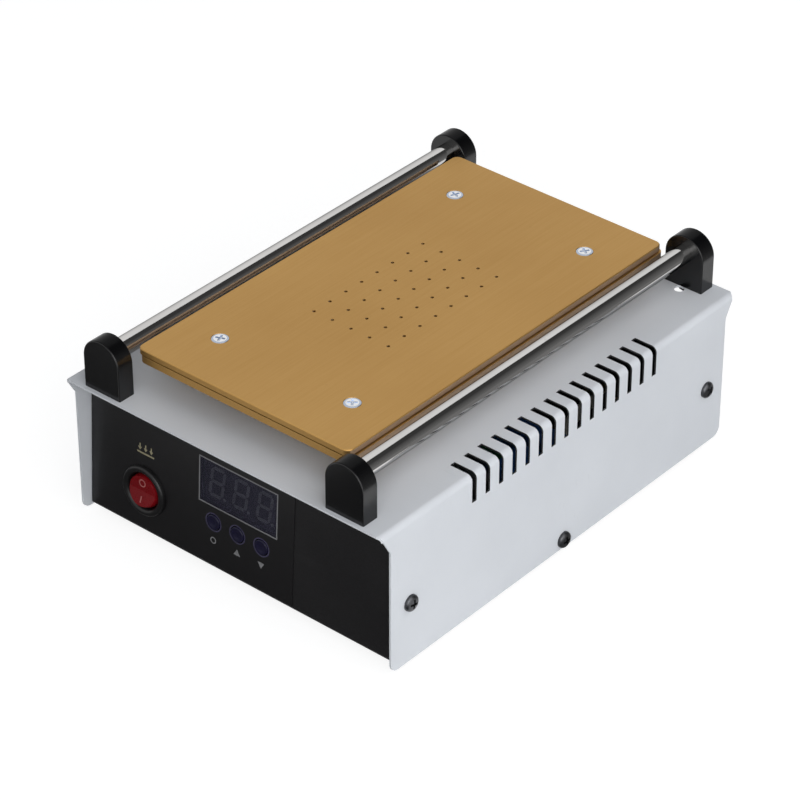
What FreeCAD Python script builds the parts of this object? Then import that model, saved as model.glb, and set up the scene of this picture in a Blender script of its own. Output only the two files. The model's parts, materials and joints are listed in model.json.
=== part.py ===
import FreeCAD, Part
import math
import os

import Sketcher
from FreeCAD import Placement, Rotation, Vector

# Vacuum screen separator: a folded sheet case with a heated suction plate on top.
# Frame: origin on the table under the middle of the case, X to the right as seen
# from the front panel, Y towards the rear, Z up. All sizes are in millimetres.

# Driving sizes: alias, value, what it is
SIZES = [
    ("foot_height", 5.0, "rubber foot under the base"),
    ("case_side", 27.0, "cover's side faces outwards of the plates' sides"),
    ("case_end", 13.4, "cover's top edges beyond the plates' ends"),
    ("wall_inset", 5.4, "side walls' ends behind the top sheet's edges"),
    ("cover_height", 65.2, "cover, lower edge to top face"),
    ("cover_sheet", 0.8, "cover's sheet thickness"),
    ("cover_bend", 2.6, "outer radius of the cover's long bends"),
    ("cover_drop", 0.7, "cover's lower edge below the base's underside"),
    ("wall_corner", 4.0, "radius at the lower corners of the side walls"),
    ("flare_height", 9.3, "wing at the wall's end, down from the top"),
    ("flare_reach", 3.8, "wing at the wall's end, outwards"),
    ("tip_cut", 2.2, "corner cut of the top sheet"),
    ("vent_count", 15, "slots over each long bend"),
    ("vent_pitch", 7.9, "slot spacing"),
    ("vent_width", 2.6, "slot width"),
    ("vent_on_top", 10.8, "slot reach on the top, in from the side face"),
    ("vent_on_wall", 12.4, "slot reach down the wall"),
    ("base_sheet", 1.0, "base's sheet thickness"),
    ("base_bend", 1.6, "outer radius of the base's bends"),
    ("panel_recess", 9.6, "end panels' feet behind the top sheet's edges"),
    ("panel_lean", 3.66, "end panels' lean inwards, in degrees"),
    ("panel_top_gap", 1.5, "end panels under the cover's top"),
    ("side_gap", 0.5, "play between base and cover"),
    ("flange_width", 14.0, "screw flanges on the end panels"),
    ("flange_start", 12.0, "lower end of the screw flanges"),
    ("flange_end_gap", 5.0, "screw flanges' end under the panel's top edge"),
    ("rail_height", 9.0, "base's side rails"),
    ("rail_inset", 38.8, "base's side rails' ends from the panels' feet"),
    ("side_screw", 3.5, "cover screw's thread"),
    ("side_head", 7.0, "cover screw's head"),
    ("side_head_high", 2.2, "cover screw's head height"),
    ("side_screw_long", 9.0, "cover screw under its head"),
    ("end_screw_in", 6.8, "outer cover screws inwards of the panels' feet"),
    ("end_screw_z", 27.2, "outer cover screws over the cover's lower edge"),
    ("mid_screw_z", 4.2, "middle cover screw over the cover's lower edge"),
    ("screw_play", 0.3, "radial play of a screw in a clearance hole"),
    ("drive_slot", 1.0, "slots of the screws' cross drive"),
    ("plate_length", 190.0, "heated plates"),
    ("plate_width", 107.0, "heated plates"),
    ("plate_corner", 3.0, "heated plates' corner radius"),
    ("plate_edge", 0.35, "heated plates' edge chamfer"),
    ("top_plate_thick", 2.5, "top plate"),
    ("gasket_thick", 0.5, "gasket between the plates"),
    ("gasket_inset", 4.0, "gasket behind the plates' edges"),
    ("lower_plate_thick", 3.0, "lower plate"),
    ("lower_plate_shift", 0.8, "lower plate's offset to the right"),
    ("plate_rise", 13.0, "lower plate over the cover"),
    ("hole_columns", 5, "suction holes across"),
    ("hole_rows", 8, "suction holes along"),
    ("hole_pitch_x", 9.45, "suction hole spacing across"),
    ("hole_pitch_y", 9.3, "suction hole spacing along"),
    ("suction_hole", 1.4, "suction hole diameter"),
    ("chamber_rim", 6.0, "vacuum chamber beyond the outer hole centres"),
    ("chamber_deep", 1.5, "vacuum chamber's depth in the lower plate"),
    ("stack_side", 20.0, "stack screws from the plates' sides"),
    ("stack_end", 25.0, "stack screws from the plates' ends"),
    ("stack_screw", 4.0, "stack screw's thread"),
    ("stack_head", 7.2, "stack screw's head"),
    ("stack_head_high", 1.9, "stack screw's head height"),
    ("stack_screw_long", 28.0, "stack screw over all"),
    ("spacer_wide", 8.0, "stack spacer's diameter"),
    ("nut_wide", 7.0, "stack nut across flats"),
    ("nut_high", 3.2, "stack nut's height"),
    ("heater_end", 32.0, "heater pad and insulation from the plates' ends"),
    ("heater_side", 9.5, "heater pad from the plates' sides"),
    ("heater_thick", 1.6, "heater pad"),
    ("board_thick", 6.0, "insulation board"),
    ("board_side", 7.5, "insulation board from the plates' sides"),
    ("well_wide", 13.0, "well through heater and insulation for the nipple"),
    ("nipple_x", -19.0, "vacuum nipple and pump port from the middle"),
    ("nipple_y", 27.0, "vacuum nipple and pump port from the middle"),
    ("nipple_thread", 5.0, "vacuum nipple's thread"),
    ("nipple_hex", 8.0, "vacuum nipple's hexagon across flats"),
    ("nipple_hex_high", 4.0, "vacuum nipple's hexagon"),
    ("barb_wide", 3.6, "barbs under the hose"),
    ("barb_long", 7.0, "barbs under the hose"),
    ("air_bore", 1.8, "air way through nipple and port"),
    ("hose_wide", 6.0, "vacuum hose and heater lead outside"),
    ("grommet_hole", 11.0, "hole in the cover for a grommet"),
    ("grommet_rim", 1.6, "grommet's lips"),
    ("grommet_wide", 14.0, "grommet's outside"),
    ("lead_x", -14.0, "heater lead's grommet from the middle"),
    ("lead_end", 17.0, "heater lead's grommet from the plates' end"),
    ("sensor_wide", 6.0, "temperature probe"),
    ("sensor_long", 14.0, "temperature probe"),
    ("sensor_thick", 3.2, "temperature probe"),
    ("cutout_wide", 20.0, "thermal cutout"),
    ("cutout_deep", 7.6, "thermal cutout"),
    ("cutout_thick", 4.0, "thermal cutout"),
    ("cutout_x", 12.0, "thermal cutout from the middle"),
    ("sensor_end", 19.0, "probe and cutout from the plates' ends"),
    ("post_wide", 18.6, "rod post"),
    ("post_high", 23.4, "rod post"),
    ("post_deep", 8.0, "rod post"),
    ("rod_gap", 3.1, "rods beside the plates"),
    ("post_back", 1.7, "rod post's outer face behind the top sheet's edge"),
    ("post_edge", 0.5, "rod post's edge rounding"),
    ("rod_wide", 8.0, "chromed rod"),
    ("rod_rise", 1.6, "rod's axis over the centre of a post's round top"),
    ("rod_grip", 5.5, "rod's length inside a post"),
    ("rod_edge", 0.4, "rod's end chamfer"),
    ("post_screw", 4.0, "post screw's thread"),
    ("post_screw_long", 10.0, "post screw inside its post"),
    ("post_head", 8.0, "post screw's head"),
    ("post_head_high", 2.6, "post screw's head height"),
    ("spare_hole", 4.4, "spare screw hole beside a post"),
    ("spare_hole_in", 6.0, "spare screw hole inwards of the post screw"),
    ("film_thick", 0.3, "front film"),
    ("film_past", 8.6, "front film's right edge beyond the window"),
    ("film_side_gap", 0.6, "front film's left edge inside the panel's side"),
    ("film_low", 1.8, "front film's lower edge on the panel"),
    ("film_top_gap", 2.1, "front film's upper edge from the panel's"),
    ("window_x", -1.2, "display window's centre"),
    ("window_z", 38.7, "display window's centre on the panel"),
    ("window_wide", 40.0, "display window"),
    ("window_high", 20.0, "display window"),
    ("body_play", 0.15, "play of a panel cut-out around a switch or inlet"),
    ("module_wide", 37.6, "display module"),
    ("module_high", 18.6, "display module"),
    ("module_deep", 8.0, "display module"),
    ("button_pitch", 12.4, "push button spacing"),
    ("button_z", 21.5, "push buttons on the panel"),
    ("button_wide", 6.6, "push button's cap"),
    ("button_proud", 0.5, "push button over the film"),
    ("button_edge", 0.4, "push button's edge chamfer"),
    ("button_play", 0.3, "radial play of a push button"),
    ("button_rim", 9.0, "push button's retaining rim"),
    ("button_rim_thick", 1.0, "push button's retaining rim"),
    ("button_stem", 3.0, "push button's stem"),
    ("button_travel", 0.5, "push button's travel"),
    ("running_gap", 0.3, "gap between pieces that move past each other"),
    ("tact_wide", 6.0, "key switch"),
    ("tact_high", 3.6, "key switch over its board"),
    ("tact_recess", 1.4, "key switch's well for the stem"),
    ("control_wide", 54.0, "control board"),
    ("control_high", 46.0, "control board"),
    ("control_down", 4.2, "control board's centre under the window's"),
    ("circuit_thick", 1.6, "circuit board"),
    ("chip_wide", 10.0, "controller chip on the control board"),
    ("chip_high", 2.0, "controller chip on the control board"),
    ("socket_block_wide", 14.0, "socket block on the control board"),
    ("socket_block_deep", 6.0, "socket block on the control board"),
    ("socket_block_z", -14.0, "socket block from the control board's centre"),
    ("hole_inset", 3.5, "board hole from the board's edges"),
    ("board_screw", 3.0, "board screw's thread"),
    ("board_head", 5.5, "board screw's head"),
    ("board_head_high", 2.0, "board screw's head height"),
    ("board_screw_long", 6.0, "board screw under its head"),
    ("screw_over", 1.5, "screw end beyond the sheet that holds it"),
    ("board_spacer", 6.0, "board spacer's diameter"),
    ("switch_side", 29.5, "pump switch's centre from the base's side"),
    ("pump_switch_z", 19.9, "pump switch's centre on the panel"),
    ("bezel_wide", 21.8, "pump switch's bezel"),
    ("bezel_proud", 2.2, "pump switch's bezel over the film"),
    ("bezel_edge", 0.9, "pump switch's bezel edge"),
    ("switch_wide", 18.6, "pump switch's body"),
    ("switch_deep", 15.0, "pump switch's body behind the panel"),
    ("switch_hole", 19.2, "hole for the pump switch"),
    ("rocker_ball", 7.4, "pump rocker's rounding about its pivot"),
    ("rocker_well", 7.5, "rocker wells' depth behind the film"),
    ("rocker_pivot", 1.2, "rocker pivots behind the film"),
    ("rocker_pin", 2.0, "rocker pivot pin"),
    ("pin_play", 0.05, "radial play of a pin or shaft"),
    ("rocker_face", 0.8, "rocker's rim over its bezel at mid throw"),
    ("rocker_dish", 1.3, "dip in the middle of a rocker's face"),
    ("rocker_back", 3.0, "rocker behind its pivot"),
    ("rocker_tilt", 7.0, "rocker's tilt each side of the middle, in degrees"),
    ("blade_wide", 4.8, "switch terminal"),
    ("blade_thick", 0.8, "switch terminal"),
    ("blade_long", 8.0, "switch terminal"),
    ("blade_apart", 8.0, "switch terminals' spacing"),
    ("mains_switch_side", 44.0, "mains switch's centre from the inlet's"),
    ("mains_z", 27.0, "mains switch's and inlet's centre on the panel"),
    ("mains_bezel_wide", 15.0, "mains switch's bezel"),
    ("mains_bezel_high", 21.0, "mains switch's bezel"),
    ("mains_bezel_proud", 2.0, "mains switch's bezel"),
    ("mains_body_wide", 12.6, "mains switch's body"),
    ("mains_body_high", 18.6, "mains switch's body"),
    ("mains_rocker_wide", 9.4, "mains rocker"),
    ("mains_rocker_ball", 7.6, "mains rocker's rounding about its pivot"),
    ("inlet_side", 35.2, "mains inlet's centre from the base's side"),
    ("inlet_wide", 50.0, "mains inlet's flange"),
    ("inlet_high", 34.0, "mains inlet's flange"),
    ("inlet_flange", 2.5, "mains inlet's flange"),
    ("inlet_body_wide", 30.0, "mains inlet's body"),
    ("inlet_body_high", 32.0, "mains inlet's body"),
    ("inlet_body_deep", 24.0, "mains inlet's body behind the panel"),
    ("inlet_screw_x", 20.0, "inlet screws from the inlet's centre"),
    ("socket_wide", 24.4, "inlet's socket"),
    ("socket_high", 16.4, "inlet's socket"),
    ("socket_deep", 17.0, "inlet's socket from the flange's face"),
    ("socket_z", -5.8, "socket's centre under the inlet's centre"),
    ("pin_wide", 2.0, "inlet pin"),
    ("pin_high", 4.0, "inlet pin"),
    ("pin_pitch", 7.0, "outer inlet pins from the middle"),
    ("pin_long", 15.0, "inlet pin in the socket"),
    ("pin_tail", 7.0, "inlet pin behind the body"),
    ("drawer_wide", 24.0, "fuse drawer"),
    ("drawer_high", 7.6, "fuse drawer"),
    ("drawer_deep", 20.0, "fuse drawer"),
    ("drawer_z", 9.6, "fuse drawer over the inlet's centre"),
    ("drawer_lip", 1.2, "fuse drawer's front over the flange"),
    ("fuse_wide", 5.2, "fuse"),
    ("fuse_long", 20.0, "fuse"),
    ("fuse_cap", 5.0, "fuse's end caps"),
    ("fuse_glass", 4.8, "fuse's glass"),
    ("foot_wide", 14.0, "rubber foot"),
    ("foot_edge", 0.6, "rubber foot's edge chamfer"),
    ("foot_side", 17.2, "feet from the base's sides"),
    ("foot_end", 17.8, "feet from the panels' feet"),
    ("port_side", 12.0, "suction port from the pump's axis"),
    ("port_back", 11.5, "suction port from the pump head's front"),
    ("motor_wide", 32.0, "pump motor"),
    ("motor_long", 44.0, "pump motor"),
    ("motor_boss_wide", 22.0, "pump motor's rear boss"),
    ("motor_boss_long", 3.0, "pump motor's rear boss"),
    ("motor_cap", 6.0, "pump motor's end cap"),
    ("motor_seam", 1.0, "groove between can and end cap"),
    ("bracket_sheet", 1.5, "pump bracket"),
    ("bracket_long", 50.0, "pump bracket's foot plate"),
    ("bracket_wide", 46.0, "pump bracket"),
    ("pump_foot_high", 6.0, "pump's rubber feet"),
    ("pump_foot_wide", 9.0, "pump's rubber feet"),
    ("pump_foot_inset", 6.0, "pump's rubber feet from the bracket's edges"),
    ("head_wide", 34.0, "pump head"),
    ("head_high", 30.0, "pump head"),
    ("head_long", 28.0, "pump head"),
    ("crank_room", 9.2, "radius of the crank's room in the pump head"),
    ("crank_long", 16.0, "crank's room along the axis"),
    ("shaft_wide", 3.0, "pump shaft"),
    ("shaft_in_motor", 22.0, "pump shaft inside the motor"),
    ("crank_wide", 12.0, "crank disc"),
    ("crank_thick", 6.0, "crank disc"),
    ("crank_offset", 2.2, "crank disc off the shaft's axis"),
    ("crank_gap", 4.0, "crank disc from the mounting plate"),
    ("shaft_tip", 2.0, "pump shaft beyond the crank disc"),
    ("port_collar", 3.0, "pump port's collar"),
    ("power_side", 10.2, "power board from the base's side"),
    ("lead_room", 24.8, "power board from the inlet's pins"),
    ("power_wide", 62.0, "power board"),
    ("power_long", 92.0, "power board"),
    ("power_rise", 6.0, "power board over the base"),
    ("core_wide", 35.0, "transformer's core"),
    ("core_long", 29.0, "transformer's core"),
    ("core_high", 14.0, "transformer's core"),
    ("coil_wide", 24.0, "transformer's winding"),
    ("coil_long", 40.0, "transformer's winding"),
    ("coil_high", 26.0, "transformer's winding"),
    ("relay_wide", 15.6, "relay"),
    ("relay_long", 19.2, "relay"),
    ("relay_high", 15.4, "relay"),
    ("capacitor_wide", 16.0, "filter capacitor"),
    ("capacitor_high", 25.0, "filter capacitor"),
    ("capacitor_bead", 1.5, "filter capacitor's rolled edge"),
    ("terminal_wide", 40.0, "terminal block"),
    ("terminal_deep", 10.0, "terminal block"),
    ("terminal_high", 12.0, "terminal block"),
    ("terminal_count", 5, "terminal block's ways"),
    ("terminal_well", 4.0, "screw wells of the terminal block"),
    ("lead_wide", 5.0, "inner leads"),
    ("lead_over", 16.0, "heater lead's lower bend over the terminals"),
    ("lead_straight", 20.0, "heater lead's last straight run"),
    ("lead_arch", 14.0, "signal lead's bend over the power board"),
    ("lead_inset", 4.0, "signal lead's end from the power board's edge"),
]

doc = FreeCAD.newDocument("screen_separator")
sheet = doc.addObject("Spreadsheet::Sheet", "sizes")
for row, (alias, number, note) in enumerate(SIZES, start=1):
    sheet.set(f"A{row}", alias)
    sheet.set(f"B{row}", str(number))
    sheet.set(f"C{row}", note)
    sheet.setAlias(f"B{row}", alias)
doc.recompute()


# Sizes that keep their spreadsheet expression

class Dim:
    """A size: its value, and the expression that ties it to the sheet."""

    def __init__(self, text, value):
        self.text = text
        self.value = value

    def __add__(self, other):
        other = dim(other)
        return Dim(f"({self.text} + {other.text})", self.value + other.value)

    def __radd__(self, other):
        return dim(other) + self

    def __sub__(self, other):
        other = dim(other)
        return Dim(f"({self.text} - {other.text})", self.value - other.value)

    def __rsub__(self, other):
        return dim(other) - self

    def __mul__(self, other):
        other = dim(other)
        return Dim(f"({self.text} * {other.text})", self.value * other.value)

    def __rmul__(self, other):
        return dim(other) * self

    def __truediv__(self, other):
        other = dim(other)
        return Dim(f"({self.text} / {other.text})", self.value / other.value)

    def __neg__(self):
        return Dim(f"(0 - {self.text})", -self.value)

    def __float__(self):
        return float(self.value)


def dim(value):
    if isinstance(value, Dim):
        return value
    return Dim(f"({value})", float(value))


def tangent(angle):
    return Dim(f"tan({angle.text} * 1 deg)", math.tan(math.radians(angle.value)))


def cosine(angle):
    return Dim(f"cos({angle.text} * 1 deg)", math.cos(math.radians(angle.value)))


class Sizes:
    """Every alias of the sheet as a Dim."""


s = Sizes()
for alias, number, note in SIZES:
    setattr(s, alias, Dim(f"sizes.{alias}", float(sheet.get(alias))))


def bind(item, path, value):
    item.setExpression(path, dim(value).text)


# Solids from primitives

ACROSS = {"x": ("y", "z"), "y": ("x", "z"), "z": ("x", "y")}
TURNED = {
    "x": Rotation(Vector(0, 1, 0), 90),
    "y": Rotation(Vector(-1, 0, 0), 90),
    "z": Rotation(),
}
SKETCH_TURN = {
    "x": Rotation(Vector(1, 1, 1), 120),
    "y": Rotation(Vector(1, 0, 0), 90),
    "z": Rotation(),
}
DIRECTION = {"x": Vector(1, 0, 0), "y": Vector(0, 1, 0), "z": Vector(0, 0, 1)}


def box(x, y, z):
    """Block between the low and high value on each axis."""
    item = doc.addObject("Part::Box", "Block")
    for side, axis, (low, high) in zip(("Length", "Width", "Height"), "xyz", (x, y, z)):
        bind(item, side, dim(high) - low)
        bind(item, f"Placement.Base.{axis}", low)
    return item


def around(middle, wide):
    """Low and high value of something centred on middle."""
    return (dim(middle) - dim(wide) / 2, dim(middle) + dim(wide) / 2)


def put(item, axis, start, at):
    """Turns a round primitive along an axis and starts it at a point."""
    item.Placement = Placement(Vector(), TURNED[axis])
    bind(item, f"Placement.Base.{axis}", start)
    for other, value in zip(ACROSS[axis], at):
        bind(item, f"Placement.Base.{other}", value)
    return item


def cylinder(axis, wide, along, at):
    item = doc.addObject("Part::Cylinder", "Round")
    bind(item, "Radius", dim(wide) / 2)
    bind(item, "Height", dim(along[1]) - along[0])
    return put(item, axis, along[0], at)


def cone(axis, wide_start, wide_end, along, at):
    item = doc.addObject("Part::Cone", "Taper")
    bind(item, "Radius1", dim(wide_start) / 2)
    bind(item, "Radius2", dim(wide_end) / 2)
    bind(item, "Height", dim(along[1]) - along[0])
    return put(item, axis, along[0], at)


def hexagon(wide, along, at):
    """Hexagonal prism along Z, wide across its flats."""
    item = doc.addObject("Part::Prism", "Hexagon")
    item.Polygon = 6
    bind(item, "Circumradius", dim(wide) / math.sqrt(3))
    bind(item, "Height", dim(along[1]) - along[0])
    return put(item, "z", along[0], at)


def ball(radius, at):
    item = doc.addObject("Part::Sphere", "Ball")
    bind(item, "Radius", radius)
    for axis, value in zip("xyz", at):
        bind(item, f"Placement.Base.{axis}", value)
    return item


def prism(axis, points, along):
    """Outline extruded along an axis."""
    sketch = doc.addObject("Sketcher::SketchObject", "Outline")
    sketch.Placement = Placement(Vector(), SKETCH_TURN[axis])
    bind(sketch, f"Placement.Base.{axis}", along[0])
    outline(sketch, points)
    item = doc.addObject("Part::Extrusion", "Prism")
    item.Base = sketch
    item.DirMode = "Custom"
    item.Dir = DIRECTION[axis]
    item.Solid = True
    bind(item, "LengthFwd", dim(along[1]) - along[0])
    return item


def fused(*items):
    if len(items) == 1:
        return items[0]
    item = doc.addObject("Part::MultiFuse", "Joined")
    item.Shapes = list(items)
    return item


def cut(base, *tools):
    item = doc.addObject("Part::Cut", "Trimmed")
    item.Base = base
    item.Tool = fused(*tools)
    return item


def common(first, second):
    item = doc.addObject("Part::MultiCommon", "Shared")
    item.Shapes = [first, second]
    return item


def group(*items):
    item = doc.addObject("Part::Compound", "Group")
    item.Links = list(items)
    return item


def moved(item, x=0, y=0, z=0, turn=None):
    """Copy of a solid at another place."""
    copy = group(item)
    if turn is not None:
        copy.Placement = Placement(Vector(), turn)
    for axis, value in zip("xyz", (x, y, z)):
        bind(copy, f"Placement.Base.{axis}", value)
    return copy


# Sketches and bodies

def pin_point(sketch, line, x, y):
    """Ties the start of a line or the centre of a circle to a point."""
    place = 3 if sketch.Geometry[line].TypeId == "Part::GeomCircle" else 1
    for kind, value, axis in (("DistanceX", dim(x), -2), ("DistanceY", dim(y), -1)):
        if value.value == 0:
            sketch.addConstraint(Sketcher.Constraint("PointOnObject", line, place, axis))
        else:
            index = sketch.addConstraint(
                Sketcher.Constraint(kind, -1, 1, line, place, value.value)
            )
            bind(sketch, f"Constraints[{index}]", value)


def outline(sketch, points):
    """Closed polygon with every corner tied to the sheet."""
    first = sketch.GeometryCount
    count = len(points)
    corners = [Vector(float(dim(x)), float(dim(y)), 0) for x, y in points]
    for index in range(count):
        sketch.addGeometry(Part.LineSegment(corners[index], corners[(index + 1) % count]), False)
    for index, (x, y) in enumerate(points):
        after = first + (index + 1) % count
        sketch.addConstraint(Sketcher.Constraint("Coincident", first + index, 2, after, 1))
        pin_point(sketch, first + index, x, y)


def rectangle(sketch, x, y):
    outline(sketch, [(x[0], y[0]), (x[1], y[0]), (x[1], y[1]), (x[0], y[1])])


def circle(sketch, x, y, wide):
    centre = Vector(float(dim(x)), float(dim(y)), 0)
    line = sketch.addGeometry(Part.Circle(centre, Vector(0, 0, 1), float(dim(wide)) / 2), False)
    pin_point(sketch, line, x, y)
    index = sketch.addConstraint(Sketcher.Constraint("Diameter", line, float(dim(wide))))
    bind(sketch, f"Constraints[{index}]", wide)


def body(name):
    item = doc.addObject("PartDesign::Body", name)
    item.Label = name
    return item


def sketch_on(part, role, height=0):
    """Sketch on one of the body's own origin planes."""
    plane = next(item for item in part.Origin.OriginFeatures if item.Role == role)
    sketch = part.newObject("Sketcher::SketchObject", "Sketch")
    sketch.AttachmentSupport = (plane, [""])
    sketch.MapMode = "FlatFace"
    bind(sketch, "AttachmentOffset.Base.z", height)
    return sketch


def pad(part, sketch, length, midplane=False):
    item = part.newObject("PartDesign::Pad", "Pad")
    item.Profile = sketch
    item.Midplane = midplane
    bind(item, "Length", length)
    return item


def pocket(part, sketch, length):
    """Cuts from the sketch against its plane's normal and checks that it did."""
    doc.recompute()
    before = part.Shape.Volume
    item = part.newObject("PartDesign::Pocket", "Pocket")
    item.Profile = sketch
    bind(item, "Length", length)
    doc.recompute()
    assert part.Shape.Volume < before, f"pocket in {part.Label} cuts nothing"
    return item


def eased(part, kind, size, chosen):
    """Fillet or chamfer on the edges of the body that chosen picks."""
    doc.recompute()
    names = [f"Edge{n}" for n, edge in enumerate(part.Shape.Edges, start=1) if chosen(edge)]
    assert names, f"no edge to ease on {part.Label}"
    tip = part.Tip
    item = part.newObject(f"PartDesign::{kind}", kind)
    item.Base = (tip, names)
    bind(item, "Radius" if kind == "Fillet" else "Size", size)
    return item


def runs(edge, axis):
    """True for a straight edge along an axis."""
    if edge.Curve.TypeId != "Part::GeomLine":
        return False
    return abs(abs(edge.tangentAt(edge.FirstParameter).dot(DIRECTION[axis])) - 1) < 1e-6


def at_level(edge, axis, value):
    """True for an edge that lies at one value of an axis."""
    spots = [getattr(vertex.Point, axis) for vertex in edge.Vertexes]
    return all(abs(spot - float(dim(value))) < 1e-4 for spot in spots)


# Planes and places that several pieces share

HALF_TOP = s.plate_length / 2 + s.case_end
HALF_WALL = HALF_TOP - s.wall_inset
HALF_CASE = s.plate_width / 2 + s.case_side
COVER_LOW = s.foot_height - s.cover_drop
COVER_TOP = COVER_LOW + s.cover_height
COVER_UNDER = COVER_TOP - s.cover_sheet
BASE_TOP = s.foot_height + s.base_sheet
HALF_BASE = HALF_CASE - s.cover_sheet - s.side_gap
PANEL_FOOT = HALF_TOP - s.panel_recess
PANEL_HIGH = COVER_UNDER - s.foot_height - s.panel_top_gap
END_SCREW_Y = PANEL_FOOT - s.end_screw_in
STACK_X = s.plate_width / 2 - s.stack_side
STACK_Y = s.plate_length / 2 - s.stack_end
HALF_HEATER = s.plate_length / 2 - s.heater_end
SENSOR_Y = s.plate_length / 2 - s.sensor_end
LEAD_Y = s.plate_length / 2 - s.lead_end
POST_X = s.plate_width / 2 + s.lower_plate_shift + s.rod_gap + s.rod_wide / 2
FOOT_X = HALF_BASE - s.foot_side
FOOT_Y = PANEL_FOOT - s.foot_end
SWITCH_X = s.switch_side - HALF_BASE
INLET_X = HALF_BASE - s.inlet_side
MAINS_X = INLET_X - s.mains_switch_side
CONTROL_Z = s.window_z - s.control_down
POWER_X = HALF_BASE - s.power_side - s.power_wide / 2
INLET_DEEP = s.base_sheet + s.inlet_body_deep + s.pin_tail
POWER_Y = PANEL_FOOT - INLET_DEEP - s.lead_room - s.power_long / 2
LOWER_UNDER = COVER_TOP + s.plate_rise
LOWER_TOP = LOWER_UNDER + s.lower_plate_thick
GASKET_TOP = LOWER_TOP + s.gasket_thick
PLATE_TOP = GASKET_TOP + s.top_plate_thick
POST_Y = HALF_TOP - s.post_back - s.post_deep / 2
POST_ROUND_Z = COVER_TOP + s.post_high - s.post_wide / 2
ROD_Z = POST_ROUND_Z + s.rod_rise
END_SCREW_Z = COVER_LOW + s.end_screw_z
MID_SCREW_Z = COVER_LOW + s.mid_screw_z

# Beyond this a cutting tool stands clear of what it cuts
CLEAR = 1.0


def four_corners(x, y):
    return [(side_x * x, side_y * y) for side_x in (-1, 1) for side_y in (-1, 1)]


DEGREE = Dim("1 deg", 1)


def on_front(item):
    """Moves a piece from the front panel's own frame, y inwards, to its place."""
    item.Placement = Placement(Vector(), Rotation(Vector(-1, 0, 0), float(s.panel_lean)))
    bind(item, "Placement.Rotation.Angle", s.panel_lean * DEGREE)
    bind(item, "Placement.Base.y", -PANEL_FOOT)
    bind(item, "Placement.Base.z", s.foot_height)
    return item


def on_rear(item):
    """Moves a piece from the rear panel's own frame, y outwards, to its place."""
    item.Placement = Placement(Vector(), Rotation(Vector(1, 0, 0), float(s.panel_lean)))
    bind(item, "Placement.Rotation.Angle", s.panel_lean * DEGREE)
    bind(item, "Placement.Base.y", PANEL_FOOT)
    bind(item, "Placement.Base.z", s.foot_height)
    return item


# Fasteners. Shares of a head's diameter and height.

DRIVE_SHARE = 0.55
DRIVE_DEEP = 0.7
RIM_SHARE = 0.35
CROWN_SHARE = 0.62


def cross_recess(wide, top, depth):
    """Crossed slots of a screw's drive, sunk from top along Z."""
    deep = (top - depth, top + CLEAR)
    long = around(0, wide)
    short = around(0, s.drive_slot)
    return fused(box(long, short, deep), box(short, long, deep))


def pan_screw(thread, length, head, head_high):
    """Round-headed screw along Z, its head's seat at zero, thread downwards."""
    rim = head_high * RIM_SHARE
    solid = fused(
        cylinder("z", thread, (-length, rim), (0, 0)),
        cylinder("z", head, (0, rim), (0, 0)),
        cone("z", head, head * CROWN_SHARE, (rim, head_high), (0, 0)),
    )
    return cut(solid, cross_recess(head * DRIVE_SHARE, head_high, head_high * DRIVE_DEEP))


def stack_screw():
    """Countersunk screw along Z, its face at zero."""
    solid = fused(
        cone("z", s.stack_screw, s.stack_head, (-s.stack_head_high, 0), (0, 0)),
        cylinder("z", s.stack_screw, (-s.stack_screw_long, -s.stack_head_high), (0, 0)),
    )
    return cut(solid, cross_recess(s.stack_head * DRIVE_SHARE, dim(0), s.stack_head_high * DRIVE_DEEP))


def make_cover_screws():
    screw = pan_screw(s.side_screw, s.side_screw_long, s.side_head, s.side_head_high)
    places = [(-END_SCREW_Y, END_SCREW_Z), (dim(0), MID_SCREW_Z), (END_SCREW_Y, END_SCREW_Z)]
    copies = []
    for y, z in places:
        copies.append(moved(screw, HALF_CASE, y, z, Rotation(Vector(0, 1, 0), 90)))
        copies.append(moved(screw, -HALF_CASE, y, z, Rotation(Vector(0, 1, 0), -90)))
    return group(*copies)


def make_plate_screws():
    screw = stack_screw()
    return group(*[moved(screw, x, y, PLATE_TOP) for x, y in four_corners(STACK_X, STACK_Y)])


def make_plate_nuts():
    nuts = []
    for x, y in four_corners(STACK_X, STACK_Y):
        high = (COVER_UNDER - s.nut_high, COVER_UNDER)
        nuts.append(cut(hexagon(s.nut_wide, high, (x, y)), cylinder("z", s.stack_screw, high, (x, y))))
    return group(*nuts)


def make_post_screws():
    screw = pan_screw(s.post_screw, s.cover_sheet + s.post_screw_long, s.post_head, s.post_head_high)
    upside_down = Rotation(Vector(1, 0, 0), 180)
    places = four_corners(POST_X, POST_Y)
    return group(*[moved(screw, x, y, COVER_UNDER, upside_down) for x, y in places])


# Case

def make_cover():
    """Folded sheet: top, two walls with wings, vents over the bends."""
    part = body("cover_shell")
    section = sketch_on(part, "XZ_Plane")
    inner = HALF_CASE - s.cover_sheet
    outline(section, [
        (-HALF_CASE, COVER_LOW), (-HALF_CASE, COVER_TOP), (HALF_CASE, COVER_TOP),
        (HALF_CASE, COVER_LOW), (inner, COVER_LOW), (inner, COVER_UNDER),
        (-inner, COVER_UNDER), (-inner, COVER_LOW),
    ])
    pad(part, section, HALF_TOP * 2, midplane=True)
    eased(part, "Fillet", s.cover_bend,
          lambda edge: runs(edge, "y") and at_level(edge, "z", COVER_TOP))
    eased(part, "Fillet", s.cover_bend - s.cover_sheet,
          lambda edge: runs(edge, "y") and at_level(edge, "z", COVER_UNDER))
    tools = [end_trim(side) for side in (-1, 1)]
    tools += [corner_trim(side_x, side_y) for side_x in (-1, 1) for side_y in (-1, 1)]
    tools += vent_tools()
    tools += cover_hole_tools()
    return cut(part, *tools)


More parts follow.
